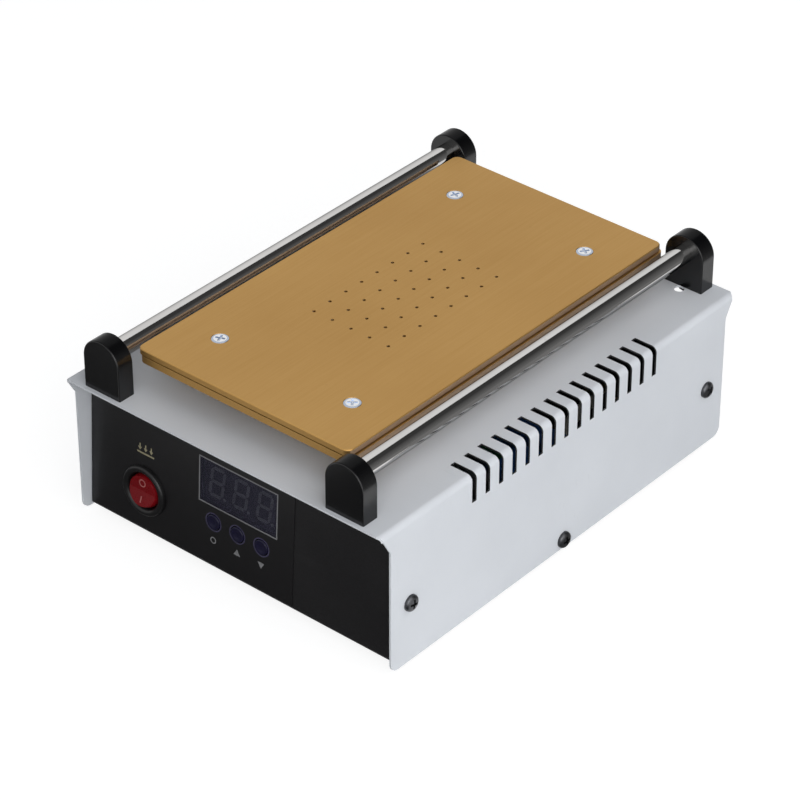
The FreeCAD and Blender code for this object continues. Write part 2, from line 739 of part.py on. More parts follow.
def end_trim(side):
    """Waste at one end of the walls: straight below, sloping along the wing."""
    out = HALF_TOP + CLEAR
    low = COVER_LOW - CLEAR
    bend_top = COVER_TOP - s.cover_bend
    flare_foot = COVER_TOP - s.flare_height
    corner = s.wall_corner
    steps = 6
    points = [(out, low), (HALF_WALL - corner, low), (HALF_WALL - corner, COVER_LOW)]
    for step in range(1, steps):
        angle = math.radians(90 * step / steps)
        points.append((
            HALF_WALL - corner * (1 - math.sin(angle)),
            COVER_LOW + corner * (1 - math.cos(angle)),
        ))
    points += [
        (HALF_WALL, COVER_LOW + corner), (HALF_WALL, flare_foot),
        (HALF_WALL + s.flare_reach, bend_top), (out, bend_top),
    ]
    if side < 0:
        points = [(-y, z) for y, z in points]
    return prism("x", points, (-HALF_CASE - CLEAR, HALF_CASE + CLEAR))


def corner_trim(side_x, side_y):
    """Waste at a corner of the top sheet, down to the wing's upper end."""
    reach_y = HALF_WALL + s.flare_reach
    points = [
        (HALF_CASE + CLEAR, reach_y), (HALF_CASE, reach_y),
        (HALF_CASE - s.tip_cut, HALF_TOP), (HALF_CASE - s.tip_cut, HALF_TOP + CLEAR),
        (HALF_CASE + CLEAR, HALF_TOP + CLEAR),
    ]
    points = [(side_x * x, side_y * y) for x, y in points]
    return prism("z", points, (COVER_TOP - s.cover_bend - CLEAR, COVER_TOP + CLEAR))


def vent_tools():
    tools = []
    count = int(s.vent_count.value)
    for index in range(count):
        y = s.vent_pitch * (index - (count - 1) / 2)
        for x in ((HALF_CASE - s.vent_on_top, HALF_CASE + CLEAR),
                  (-HALF_CASE - CLEAR, s.vent_on_top - HALF_CASE)):
            high = (COVER_TOP - s.vent_on_wall, COVER_TOP + CLEAR)
            tools.append(box(x, around(y, s.vent_width), high))
    return tools


def cover_hole_tools():
    through = (COVER_UNDER - CLEAR, COVER_TOP + CLEAR)
    tools = []
    for x, y in four_corners(STACK_X, STACK_Y):
        tools.append(cylinder("z", s.stack_screw + 2 * s.screw_play, through, (x, y)))
    for x, y in ((s.nipple_x, s.nipple_y), (s.lead_x, LEAD_Y)):
        tools.append(cylinder("z", s.grommet_hole, through, (x, y)))
    for x, y in four_corners(POST_X, POST_Y):
        tools.append(cylinder("z", s.post_screw + 2 * s.screw_play, through, (x, y)))
    for x, y in four_corners(POST_X, POST_Y - s.spare_hole_in):
        tools.append(cylinder("z", s.spare_hole, through, (x, y)))
    side_hole = s.side_screw + 2 * s.screw_play
    for y, z in ((-END_SCREW_Y, END_SCREW_Z), (dim(0), MID_SCREW_Z), (END_SCREW_Y, END_SCREW_Z)):
        tools.append(cylinder("x", side_hole, (-HALF_CASE - CLEAR, HALF_CASE + CLEAR), (y, z)))
    return tools


def make_chassis():
    """Folded sheet: bottom, leaning end panels, flanges and rails for the cover's screws."""
    part = body("chassis_shell")
    section = sketch_on(part, "YZ_Plane")
    low = s.foot_height
    top = low + PANEL_HIGH
    lean = tangent(s.panel_lean)
    wall = s.base_sheet / cosine(s.panel_lean)
    outer_top = PANEL_FOOT - PANEL_HIGH * lean
    inner_foot = PANEL_FOOT - wall - s.base_sheet * lean
    outline(section, [
        (-PANEL_FOOT, low), (PANEL_FOOT, low), (outer_top, top), (outer_top - wall, top),
        (inner_foot, BASE_TOP), (-inner_foot, BASE_TOP), (wall - outer_top, top), (-outer_top, top),
    ])
    pad(part, section, HALF_BASE * 2, midplane=True)
    eased(part, "Fillet", s.base_bend,
          lambda edge: runs(edge, "x") and at_level(edge, "z", low))
    pieces = [part]
    for side in (-1, 1):
        x = sorted((side * HALF_BASE, side * (HALF_BASE - s.base_sheet)), key=float)
        pieces.append(box(x, around(0, 2 * (PANEL_FOOT - s.rail_inset)), (low, low + s.rail_height)))
        pieces += [screw_flange(x, end, lean, wall) for end in (-1, 1)]
    tools = [on_front(group(*front_panel_tools())), on_rear(group(*rear_panel_tools()))]
    tools += chassis_screw_tools()
    return cut(fused(*pieces), *tools)


def screw_flange(x, end, lean, wall):
    """Flange along one side of an end panel."""
    start = s.foot_height + s.flange_start
    stop = s.foot_height + PANEL_HIGH - s.flange_end_gap
    face_start = PANEL_FOOT - wall / 2 - s.flange_start * lean
    face_stop = PANEL_FOOT - wall / 2 - (PANEL_HIGH - s.flange_end_gap) * lean
    points = [
        (face_start, start), (face_stop, stop),
        (face_stop - s.flange_width, stop), (face_start - s.flange_width, start),
    ]
    return prism("x", [(end * y, z) for y, z in points], x)


def chassis_screw_tools():
    """Threaded and plain holes of the base's bottom, rails and flanges."""
    tools = []
    for y, z in ((-END_SCREW_Y, END_SCREW_Z), (dim(0), MID_SCREW_Z), (END_SCREW_Y, END_SCREW_Z)):
        tools.append(cylinder("x", s.side_screw, (-HALF_CASE, HALF_CASE), (y, z)))
    through = (s.foot_height - CLEAR, BASE_TOP + CLEAR)
    places = four_corners(FOOT_X, FOOT_Y) + pump_foot_places() + power_hole_places()
    for x, y in places:
        tools.append(cylinder("z", s.board_screw, through, (x, y)))
    return tools


def make_foot(x, y):
    """Rubber foot with a sunk screw hole."""
    high = (dim(0), s.foot_height)
    sink = s.foot_height / 2
    return cut(
        fused(
            cone("z", s.foot_wide - 2 * s.foot_edge, s.foot_wide, (0, s.foot_edge), (x, y)),
            cylinder("z", s.foot_wide, (s.foot_edge, s.foot_height), (x, y)),
        ),
        cylinder("z", s.board_head + 2 * s.screw_play, (dim(0), sink), (x, y)),
        cylinder("z", s.board_screw, high, (x, y)),
    )


def make_feet():
    return group(*[make_foot(x, y) for x, y in four_corners(FOOT_X, FOOT_Y)])


def make_foot_screws():
    length = s.foot_height / 2 + s.base_sheet + s.screw_over
    screw = pan_screw(s.board_screw, length, s.board_head, s.board_head_high)
    upside_down = Rotation(Vector(1, 0, 0), 180)
    places = four_corners(FOOT_X, FOOT_Y)
    return group(*[moved(screw, x, y, s.foot_height / 2, upside_down) for x, y in places])


# Heated plates

def rounded_plate(name, x, thick, low):
    """Plate with rounded corners, its long sides along Y."""
    part = body(name)
    flat = sketch_on(part, "XY_Plane", low)
    rectangle(flat, around(x, s.plate_width), around(0, s.plate_length))
    pad(part, flat, thick)
    eased(part, "Fillet", s.plate_corner, lambda edge: runs(edge, "z"))
    return part


def chamber_half(pitch, count):
    return pitch * (count - 1) / 2 + s.chamber_rim


def make_top_plate():
    """Plate with its grid of suction holes and four countersinks."""
    part = rounded_plate("top_plate_body", 0, s.top_plate_thick, GASKET_TOP)
    eased(part, "Chamfer", s.plate_edge, lambda edge: at_level(edge, "z", PLATE_TOP))
    holes = sketch_on(part, "XY_Plane", PLATE_TOP)
    columns = int(s.hole_columns.value)
    rows = int(s.hole_rows.value)
    for column in range(columns):
        for row in range(rows):
            x = s.hole_pitch_x * (column - (columns - 1) / 2)
            y = s.hole_pitch_y * (row - (rows - 1) / 2)
            circle(holes, x, y, s.suction_hole)
    pocket(part, holes, s.top_plate_thick + CLEAR)
    tools = []
    for x, y in four_corners(STACK_X, STACK_Y):
        sink = (PLATE_TOP - s.stack_head_high, PLATE_TOP)
        tools.append(cone("z", s.stack_screw, s.stack_head, sink, (x, y)))
        tools.append(cylinder("z", s.stack_screw, (GASKET_TOP - CLEAR, PLATE_TOP), (x, y)))
    return cut(part, *tools)


def make_lower_plate():
    """Plate with the vacuum chamber milled into its top."""
    part = rounded_plate("lower_plate_body", s.lower_plate_shift, s.lower_plate_thick, LOWER_UNDER)
    chamber = sketch_on(part, "XY_Plane", LOWER_TOP)
    rectangle(chamber, around(0, 2 * chamber_half(s.hole_pitch_x, s.hole_columns)),
              around(0, 2 * chamber_half(s.hole_pitch_y, s.hole_rows)))
    pocket(part, chamber, s.chamber_deep)
    through = (LOWER_UNDER - CLEAR, LOWER_TOP + CLEAR)
    tools = [cylinder("z", s.nipple_thread, through, (s.nipple_x, s.nipple_y))]
    for x, y in four_corners(STACK_X, STACK_Y):
        tools.append(cylinder("z", s.stack_screw + 2 * s.screw_play, through, (x, y)))
    return cut(part, *tools)


def make_gasket():
    """Sheet of silicone between the plates, open over the chamber."""
    part = body("gasket_body")
    flat = sketch_on(part, "XY_Plane", LOWER_TOP)
    rectangle(flat, around(0, s.plate_width - 2 * s.gasket_inset),
              around(0, s.plate_length - 2 * s.gasket_inset))
    rectangle(flat, around(0, 2 * chamber_half(s.hole_pitch_x, s.hole_columns)),
              around(0, 2 * chamber_half(s.hole_pitch_y, s.hole_rows)))
    for x, y in four_corners(STACK_X, STACK_Y):
        circle(flat, x, y, s.stack_screw + 2 * s.screw_play)
    pad(part, flat, s.gasket_thick)
    return part


def make_heater():
    high = (LOWER_UNDER - s.heater_thick, LOWER_UNDER)
    return cut(
        box(around(0, s.plate_width - 2 * s.heater_side), around(0, HALF_HEATER * 2), high),
        cylinder("z", s.well_wide, high, (s.nipple_x, s.nipple_y)),
    )


def make_insulation():
    top = LOWER_UNDER - s.heater_thick
    high = (top - s.board_thick, top)
    return cut(
        box(around(0, s.plate_width - 2 * s.board_side), around(0, HALF_HEATER * 2), high),
        cylinder("z", s.well_wide, high, (s.nipple_x, s.nipple_y)),
    )


def make_spacers():
    spacers = []
    for x, y in four_corners(STACK_X, STACK_Y):
        high = (COVER_TOP, LOWER_UNDER)
        bore = s.stack_screw + 2 * s.screw_play
        spacers.append(cut(cylinder("z", s.spacer_wide, high, (x, y)), cylinder("z", bore, high, (x, y))))
    return group(*spacers)


NIPPLE_SEAT = LOWER_UNDER - s.nipple_hex_high
NIPPLE_END = NIPPLE_SEAT - s.barb_long


def make_nipple():
    """Hexagon nipple screwed into the lower plate from below."""
    at = (s.nipple_x, s.nipple_y)
    top = LOWER_TOP - s.chamber_deep
    solid = fused(
        cylinder("z", s.nipple_thread, (LOWER_UNDER, top), at),
        hexagon(s.nipple_hex, (NIPPLE_SEAT, LOWER_UNDER), at),
        cylinder("z", s.barb_wide, (NIPPLE_END, NIPPLE_SEAT), at),
    )
    return cut(solid, cylinder("z", s.air_bore, (NIPPLE_END, top), at))


def make_grommets():
    grommets = []
    for at in ((s.nipple_x, s.nipple_y), (s.lead_x, LEAD_Y)):
        low = COVER_UNDER - s.grommet_rim
        high = COVER_TOP + s.grommet_rim
        solid = fused(
            cylinder("z", s.grommet_wide, (low, COVER_UNDER), at),
            cylinder("z", s.grommet_hole, (COVER_UNDER, COVER_TOP), at),
            cylinder("z", s.grommet_wide, (COVER_TOP, high), at),
        )
        grommets.append(cut(solid, cylinder("z", s.hose_wide, (low, high), at)))
    return group(*grommets)


def make_probe():
    high = (LOWER_UNDER - s.sensor_thick, LOWER_UNDER)
    return box(around(0, s.sensor_wide), around(-SENSOR_Y, s.sensor_long), high)


def make_cutout():
    high = (LOWER_UNDER - s.cutout_thick, LOWER_UNDER)
    return box(around(s.cutout_x, s.cutout_wide), around(SENSOR_Y, s.cutout_deep), high)


# Rods and posts

def make_post_body():
    """Round-topped block, its middle at the origin."""
    part = body("post_body")
    block = sketch_on(part, "XZ_Plane")
    rectangle(block, around(0, s.post_wide), (COVER_TOP, POST_ROUND_Z))
    pad(part, block, s.post_deep, midplane=True)
    top = sketch_on(part, "XZ_Plane")
    circle(top, 0, POST_ROUND_Z, s.post_wide)
    pad(part, top, s.post_deep, midplane=True)
    faces = (-s.post_deep / 2, s.post_deep / 2)
    eased(part, "Fillet", s.post_edge, lambda edge: (
        any(at_level(edge, "y", face) for face in faces) and not at_level(edge, "z", COVER_TOP)
    ))
    return part


def make_post(post_body, x, side_y):
    """One post: the round-topped block with its rod bore and screw hole."""
    inner = s.post_deep / 2
    bore = cylinder("y", s.rod_wide, (inner - s.rod_grip, inner + CLEAR), (0, ROD_Z))
    thread = cylinder("z", s.post_screw, (COVER_TOP - CLEAR, COVER_TOP + s.post_screw_long), (0, 0))
    post = cut(post_body, bore, thread)
    turn = Rotation(Vector(0, 0, 1), 0 if side_y < 0 else 180)
    return moved(post, x, side_y * POST_Y, 0, turn)


def make_rod(x):
    """Chromed rod between two posts."""
    end = POST_Y - s.post_deep / 2 + s.rod_grip
    middle = end - s.rod_edge
    thin = s.rod_wide - 2 * s.rod_edge
    return fused(
        cone("y", thin, s.rod_wide, (-end, -middle), (x, ROD_Z)),
        cylinder("y", s.rod_wide, (-middle, middle), (x, ROD_Z)),
        cone("y", s.rod_wide, thin, (middle, end), (x, ROD_Z)),
    )


# Front panel. Pieces are drawn in the panel's own frame: x across, z up the
# panel from its foot, y inwards from the sheet's outer face.

BUTTONS = {"button_set": -1, "button_up": 0, "button_down": 1}
FILM_FACE = -s.film_thick
BOARD_FRONT = s.base_sheet + s.running_gap + s.module_deep
TACT_FACE = BOARD_FRONT - s.tact_high
STEM_END = TACT_FACE + s.tact_recess - s.button_travel - s.running_gap


def button_x(index):
    return s.window_x + s.button_pitch * index


def front_panel_tools():
    """Openings of the front panel."""
    through = (-CLEAR, s.base_sheet + CLEAR)
    at = (SWITCH_X, s.pump_switch_z)
    tools = [
        cylinder("y", s.switch_hole, through, at),
        box(around(s.window_x, s.window_wide), through, around(s.window_z, s.window_high)),
    ]
    for index in BUTTONS.values():
        at = (button_x(index), s.button_z)
        tools.append(cylinder("y", s.button_wide + 2 * s.button_play, through, at))
    return tools


def make_film():
    """Printed film on the left of the front panel, with its openings."""
    left = s.film_side_gap - HALF_BASE
    right = s.window_x + s.window_wide / 2 + s.film_past
    top = PANEL_HIGH / cosine(s.panel_lean) - s.film_top_gap
    film = box((left, right), (FILM_FACE, 0), (s.film_low, top))
    return on_front(cut(film, *front_panel_tools()))


def make_window():
    """Smoked window set into panel and film, flush with the film."""
    wide = around(s.window_x, s.window_wide)
    pane = box(wide, (FILM_FACE, s.base_sheet), around(s.window_z, s.window_high))
    return on_front(group(pane))


def make_display():
    """Digit block between the window and the control board."""
    deep = (BOARD_FRONT - s.module_deep, BOARD_FRONT)
    block = box(around(s.window_x, s.module_wide), deep, around(s.window_z, s.module_high))
    return on_front(group(block))


def board_holes(x, z, wide, high):
    return [
        (x + side_x * (wide / 2 - s.hole_inset), z + side_z * (high / 2 - s.hole_inset))
        for side_x in (-1, 1) for side_z in (-1, 1)
    ]


def control_holes():
    return board_holes(s.window_x, CONTROL_Z, s.control_wide, s.control_high)


def make_control_board():
    deep = (BOARD_FRONT, BOARD_FRONT + s.circuit_thick)
    sheet_solid = box(around(s.window_x, s.control_wide), deep, around(CONTROL_Z, s.control_high))
    holes = [cylinder("y", s.board_screw, deep, at) for at in control_holes()]
    chip_deep = (deep[1], deep[1] + s.chip_high)
    chip = box(around(s.window_x, s.chip_wide), chip_deep, around(CONTROL_Z, s.chip_wide))
    socket_deep = (deep[1], deep[1] + s.socket_block_deep)
    socket_z = around(CONTROL_Z + s.socket_block_z, s.socket_block_deep)
    socket = box(around(s.window_x, s.socket_block_wide), socket_deep, socket_z)
    return on_front(fused(cut(sheet_solid, *holes), chip, socket))


def make_board_spacers():
    deep = (s.base_sheet, BOARD_FRONT)
    solids = []
    for at in control_holes():
        solids.append(cut(cylinder("y", s.board_spacer, deep, at), cylinder("y", s.board_screw, deep, at)))
    return on_front(group(*solids))


def make_panel_screws():
    """Six alike screws: four through the control board, two through the inlet's flange."""
    screw = pan_screw(s.board_screw, s.board_screw_long, s.board_head, s.board_head_high)
    outwards = Rotation(Vector(1, 0, 0), -90)
    back = BOARD_FRONT + s.circuit_thick
    front = [moved(screw, x, back, z, outwards) for x, z in control_holes()]
    rear = []
    for side in (-1, 1):
        x = INLET_X + side * s.inlet_screw_x
        rear.append(moved(screw, x, s.inlet_flange, s.mains_z, outwards))
    return group(on_front(group(*front)), on_rear(group(*rear)))


def make_button(index):
    """Cap, retaining rim and stem of one push button."""
    at = (button_x(index), s.button_z)
    face = FILM_FACE - s.button_proud
    rim = s.base_sheet + s.running_gap
    shoulder = face + s.button_edge
    return on_front(fused(
        cone("y", s.button_wide - 2 * s.button_edge, s.button_wide, (face, shoulder), at),
        cylinder("y", s.button_wide, (shoulder, rim), at),
        cylinder("y", s.button_rim, (rim, rim + s.button_rim_thick), at),
        cylinder("y", s.button_stem, (rim + s.button_rim_thick, STEM_END), at),
    ))


def make_tact_switches():
    """Key switches on the control board, each with a well for its stem."""
    solids = []
    for index in BUTTONS.values():
        at = (button_x(index), s.button_z)
        block = box(around(at[0], s.tact_wide), (TACT_FACE, BOARD_FRONT), around(at[1], s.tact_wide))
        well = (TACT_FACE, TACT_FACE + s.tact_recess)
        solids.append(cut(block, cylinder("y", s.button_stem + 2 * s.button_play, well, at)))
    return on_front(group(*solids))


# Switches

def rocker_outline(half, face, back):
    """Side view of a rocker about its pivot at mid throw, y inwards."""
    return [(-face, -half), (s.rocker_dish - face, dim(0)), (-face, half), (back, half), (back, -half)]


def make_pump_switch():
    """Round switch: bezel over the film, body with its well behind the panel."""
    at = (SWITCH_X, s.pump_switch_z)
    proud = FILM_FACE - s.bezel_proud
    back = s.base_sheet + s.switch_deep
    well_end = FILM_FACE + s.rocker_well
    well = 2 * (s.rocker_ball + s.running_gap)
    pivot = FILM_FACE + s.rocker_pivot
    pin_room = s.rocker_pin + 2 * s.pin_play
    pin_reach = s.switch_wide / 2
    solid = fused(
        cone("y", s.bezel_wide - 2 * s.bezel_edge, s.bezel_wide, (proud, proud + s.bezel_edge), at),
        cylinder("y", s.bezel_wide, (proud + s.bezel_edge, FILM_FACE), at),
        cylinder("y", s.switch_wide, (FILM_FACE, back), at),
    )
    return on_front(cut(
        solid,
        cylinder("y", well, (proud - CLEAR, well_end), at),
        cone("y", well + 2 * s.bezel_edge, well, (proud, proud + s.bezel_edge), at),
        cylinder("x", pin_room, (at[0] - pin_reach, at[0] + pin_reach), (pivot, at[1])),
    ))


def blade_pair(x, z, deep):
    """Two solder terminals behind a switch."""
    return [
        box(around(x, s.blade_wide), deep, around(z + side * s.blade_apart / 2, s.blade_thick))
        for side in (-1, 1)
    ]


def make_switch_terminals():
    """Solder terminals of both switches, set face to face on their bodies."""
    front_back = s.base_sheet + s.switch_deep
    front = blade_pair(SWITCH_X, s.pump_switch_z, (front_back, front_back + s.blade_long))
    rear = blade_pair(MAINS_X, s.mains_z, (-front_back - s.blade_long, -front_back))
    return group(on_front(group(*front)), on_rear(group(*rear)))


def make_pump_rocker():
    """Round rocker with its two pivot pins, at rest with its upper half pressed in."""
    half = s.rocker_ball
    reach = s.rocker_pivot + s.bezel_proud + s.rocker_face
    shape = prism("x", rocker_outline(half + CLEAR, reach, s.rocker_back), (-half - CLEAR, half + CLEAR))
    pin_reach = s.switch_wide / 2 - s.running_gap
    solid = fused(
        common(shape, ball(s.rocker_ball, (0, 0, 0))),
        cylinder("x", s.rocker_pin, (-pin_reach, pin_reach), (0, 0)),
    )
    tilted = moved(solid, SWITCH_X, FILM_FACE + s.rocker_pivot, s.pump_switch_z,
                   Rotation(Vector(1, 0, 0), -float(s.rocker_tilt)))
    return on_front(group(tilted))


# Rear panel. Pieces are drawn in the panel's own frame: x as on the case, z up
# the panel from its foot, y outwards from the sheet's outer face.

def rear_panel_tools():
    """Openings of the rear panel."""
    through = (-s.base_sheet - CLEAR, dim(CLEAR))
    tools = [
        box(around(MAINS_X, s.mains_body_wide + 2 * s.body_play), through,
            around(s.mains_z, s.mains_body_high + 2 * s.body_play)),
        box(around(INLET_X, s.inlet_body_wide + 2 * s.body_play), through,
            around(s.mains_z, s.inlet_body_high + 2 * s.body_play)),
    ]
    for side in (-1, 1):
        at = (INLET_X + side * s.inlet_screw_x, s.mains_z)
        tools.append(cylinder("y", s.board_screw, through, at))
    return tools


def make_mains_switch():
    """Upright rocker switch: bezel, body and its well."""
    x = MAINS_X
    z = s.mains_z
    back = -s.base_sheet - s.switch_deep
    well_wide = s.mains_rocker_wide + 2 * s.running_gap
    well_high = 2 * (s.mains_rocker_ball + s.running_gap)
    pivot = -s.rocker_pivot
    pin_room = s.rocker_pin + 2 * s.pin_play
    solid = fused(
        box(around(x, s.mains_bezel_wide), (0, s.mains_bezel_proud), around(z, s.mains_bezel_high)),
        box(around(x, s.mains_body_wide), (back, 0), around(z, s.mains_body_high)),
    )
    return on_rear(cut(
        solid,
        box(around(x, well_wide), (-s.rocker_well, s.mains_bezel_proud), around(z, well_high)),
        cylinder("x", pin_room, around(x, s.mains_body_wide), (pivot, z)),
    ))


def make_mains_rocker():
    """Upright rocker with its two pivot pins, at rest with its upper half pressed in."""
    half = s.mains_rocker_ball
    reach = s.rocker_pivot + s.mains_bezel_proud + s.rocker_face
    points = [(-y, z) for y, z in rocker_outline(half + CLEAR, reach, s.rocker_back)]
    shape = prism("x", points, around(0, s.mains_rocker_wide))
    barrel = cylinder("x", 2 * half, around(0, s.mains_rocker_wide), (0, 0))
    solid = fused(
        common(shape, barrel),
        cylinder("x", s.rocker_pin, around(0, s.mains_body_wide - 2 * s.running_gap), (0, 0)),
    )
    tilted = moved(solid, MAINS_X, -s.rocker_pivot, s.mains_z,
                   Rotation(Vector(1, 0, 0), float(s.rocker_tilt)))
    return on_rear(group(tilted))


def make_inlet():
    """Mains inlet: flange, body, socket for a plug and well for the fuse drawer."""
    x = INLET_X
    z = s.mains_z
    back = -s.base_sheet - s.inlet_body_deep
    face = s.inlet_flange
    drawer_room = (s.drawer_wide + 2 * s.running_gap, s.drawer_high + 2 * s.running_gap)
    solid = fused(
        box(around(x, s.inlet_wide), (0, face), around(z, s.inlet_high)),
        box(around(x, s.inlet_body_wide), (back, 0), around(z, s.inlet_body_high)),
    )
    drawer_end = face - s.drawer_deep - s.running_gap
    tools = [
        socket_tool(x, z + s.socket_z, (face - s.socket_deep, face)),
        box(around(x, drawer_room[0]), (drawer_end, face), around(z + s.drawer_z, drawer_room[1])),
    ]
    behind_socket = (back, face - s.socket_deep)
    for pin_x, pin_z in pin_places():
        tools.append(box(around(pin_x, s.pin_wide), behind_socket, around(pin_z, s.pin_high)))
    for side in (-1, 1):
        screw_at = (x + side * s.inlet_screw_x, z)
        tools.append(cylinder("y", s.board_screw, (0, face), screw_at))
    return on_rear(cut(solid, *tools))


def socket_tool(x, z, deep):
    """Plug socket with its two cut corners."""
    half = s.socket_wide / 2
    high = s.socket_high / 2
    nip = s.socket_high / 4
    points = [
        (x - half, z + high), (x + half, z + high), (x + half, z - high + nip),
        (x + half - nip, z - high), (x - half + nip, z - high), (x - half, z - high + nip),
    ]
    sketch = doc.addObject("Sketcher::SketchObject", "Outline")
    sketch.Placement = Placement(Vector(), SKETCH_TURN["y"])
    bind(sketch, "Placement.Base.y", deep[0])
    outline(sketch, points)
    item = doc.addObject("Part::Extrusion", "Prism")
    item.Base = sketch
    item.DirMode = "Custom"
    item.Dir = DIRECTION["y"]
    item.Solid = True
    bind(item, "LengthFwd", deep[1] - deep[0])
    return item


def pin_places():
    """Centres of the two live pins and the earth pin between them."""
    z = s.mains_z + s.socket_z
    live = [(INLET_X + side * s.pin_pitch, z - s.pin_high / 2) for side in (-1, 1)]
    return live + [(INLET_X, z + s.pin_high / 2)]


def make_inlet_pins():
    front = s.inlet_flange - s.socket_deep + s.pin_long
    deep = (-INLET_DEEP, front)
    pins = [box(around(x, s.pin_wide), deep, around(z, s.pin_high)) for x, z in pin_places()]
    return on_rear(group(*pins))


def make_fuse_drawer():
    """Drawer with a lip to pull and a tray for the fuse."""
    z = s.mains_z + s.drawer_z
    face = s.inlet_flange
    deep = (face - s.drawer_deep, face + s.drawer_lip)
    solid = box(around(INLET_X, s.drawer_wide), deep, around(z, s.drawer_high))
    tray_x = around(INLET_X, s.fuse_long)
    notch = (z - s.drawer_high / 2, z)
    return on_rear(cut(
        solid,
        cylinder("x", s.fuse_wide, tray_x, (fuse_y(), z)),
        box(tray_x, around(fuse_y(), s.fuse_wide), (z, z + s.drawer_high)),
        box(around(INLET_X, s.drawer_wide / 3), (face, face + s.drawer_lip / 2), notch),
    ))


def fuse_y():
    return s.inlet_flange - s.drawer_deep / 2


def make_fuse():
    """Glass fuse with its two end caps as one solid, across the drawer."""
    at = (fuse_y(), s.mains_z + s.drawer_z)
    cap = s.fuse_cap
    x = INLET_X
    half = s.fuse_long / 2
    return on_rear(fused(
        cylinder("x", s.fuse_wide, (x - half, x - half + cap), at),
        cylinder("x", s.fuse_glass, (x - half + cap, x + half - cap), at),
        cylinder("x", s.fuse_wide, (x + half - cap, x + half), at),
    ))


# Pump

PUMP_X = s.nipple_x - s.port_side
HEAD_START = s.nipple_y - s.port_back
JOINT_Y = HEAD_START - s.bracket_sheet
BRACKET_LOW = BASE_TOP + s.pump_foot_high
BRACKET_TOP = BRACKET_LOW + s.bracket_sheet
AXIS_Z = BRACKET_TOP + s.motor_wide / 2
HEAD_TOP = AXIS_Z + s.head_high / 2
BRACKET_END = JOINT_Y - s.bracket_long
PORT_SEAT = HEAD_TOP + s.port_collar
PORT_END = PORT_SEAT + s.barb_long


def pump_foot_places():
    """Centres of the pump's rubber feet."""
    low_y = JOINT_Y - s.bracket_long + s.pump_foot_inset
    high_y = JOINT_Y - s.pump_foot_inset
    half = s.bracket_wide / 2 - s.pump_foot_inset
    return [(PUMP_X + side * half, y) for side in (-1, 1) for y in (low_y, high_y)]


def make_motor():
    at = (PUMP_X, AXIS_Z)
    start = JOINT_Y - s.motor_long
    solid = fused(
        cylinder("y", s.motor_boss_wide, (start - s.motor_boss_long, start), at),
        cylinder("y", s.motor_wide, (start, JOINT_Y), at),
    )
    seam = (start + s.motor_cap, start + s.motor_cap + s.motor_seam)
    groove = cut(
        cylinder("y", s.motor_wide + CLEAR, seam, at),
        cylinder("y", s.motor_wide - s.motor_seam, seam, at),
    )
    bore_start = JOINT_Y - s.shaft_in_motor - s.running_gap
    bore = cylinder("y", s.shaft_wide + 2 * s.pin_play, (bore_start, JOINT_Y), at)
    return cut(solid, groove, bore)


def make_pump_bracket():
    """Foot plate and upright plate between motor and head."""
    x = around(PUMP_X, s.bracket_wide)
    upright = box(x, (JOINT_Y, HEAD_START), (BRACKET_LOW, HEAD_TOP))
    foot_plate = box(x, (BRACKET_END, HEAD_START), (BRACKET_LOW, BRACKET_TOP))
    through = (BRACKET_LOW - CLEAR, BRACKET_TOP + CLEAR)
    tools = [cylinder("z", s.board_screw, through, at) for at in pump_foot_places()]
    boss = s.shaft_wide + 2 * s.running_gap
    tools.append(cylinder("y", boss, (JOINT_Y, HEAD_START), (PUMP_X, AXIS_Z)))
    return cut(fused(upright, foot_plate), *tools)


def make_pump_feet():
    feet = []
    for at in pump_foot_places():
        high = (BASE_TOP, BRACKET_LOW)
        feet.append(cut(cylinder("z", s.pump_foot_wide, high, at), cylinder("z", s.board_screw, high, at)))
    return group(*feet)


def make_pump_screws():
    length = s.bracket_sheet + s.pump_foot_high + s.base_sheet + s.screw_over
    screw = pan_screw(s.board_screw, length, s.board_head, s.board_head_high)
    return group(*[moved(screw, x, y, BRACKET_TOP) for x, y in pump_foot_places()])


def make_pump_head():
    """Diaphragm head with its crank room, suction port and exhaust port."""
    at = (PUMP_X, AXIS_Z)
    stop = HEAD_START + s.head_long
    block = box(around(PUMP_X, s.head_wide), (HEAD_START, stop), around(AXIS_Z, s.head_high))
    port_at = (s.nipple_x, s.nipple_y)
    port = fused(
        cylinder("z", s.nipple_hex, (HEAD_TOP, PORT_SEAT), port_at),
        cylinder("z", s.barb_wide, (PORT_SEAT, PORT_END), port_at),
    )
    exhaust_at = (PUMP_X - s.port_side, s.nipple_y)
    exhaust = cylinder("z", s.barb_wide, (HEAD_TOP, HEAD_TOP + s.barb_long), exhaust_at)
    return cut(
        fused(block, port, exhaust),
        cylinder("y", 2 * s.crank_room, (HEAD_START, HEAD_START + s.crank_long), at),
        cylinder("z", s.air_bore, (HEAD_TOP, PORT_END), port_at),
        cylinder("z", s.air_bore, (HEAD_TOP, HEAD_TOP + s.barb_long), exhaust_at),
    )


def make_pump_shaft():
    """Motor shaft with its off-centre crank disc."""
    at = (PUMP_X, AXIS_Z)
    crank_start = HEAD_START + s.crank_gap
    crank_stop = crank_start + s.crank_thick
    return fused(
        cylinder("y", s.shaft_wide, (JOINT_Y - s.shaft_in_motor, crank_stop + s.shaft_tip), at),
        cylinder("y", s.crank_wide, (crank_start, crank_stop), (PUMP_X, AXIS_Z - s.crank_offset)),
    )


# Power board

POWER_LOW = BASE_TOP + s.power_rise
POWER_TOP = POWER_LOW + s.circuit_thick


def power_hole_places():
    return board_holes(POWER_X, POWER_Y, s.power_wide, s.power_long)


def make_power_board():
    high = (POWER_LOW, POWER_TOP)
    board = box(around(POWER_X, s.power_wide), around(POWER_Y, s.power_long), high)
    return cut(board, *[cylinder("z", s.board_screw, high, at) for at in power_hole_places()])


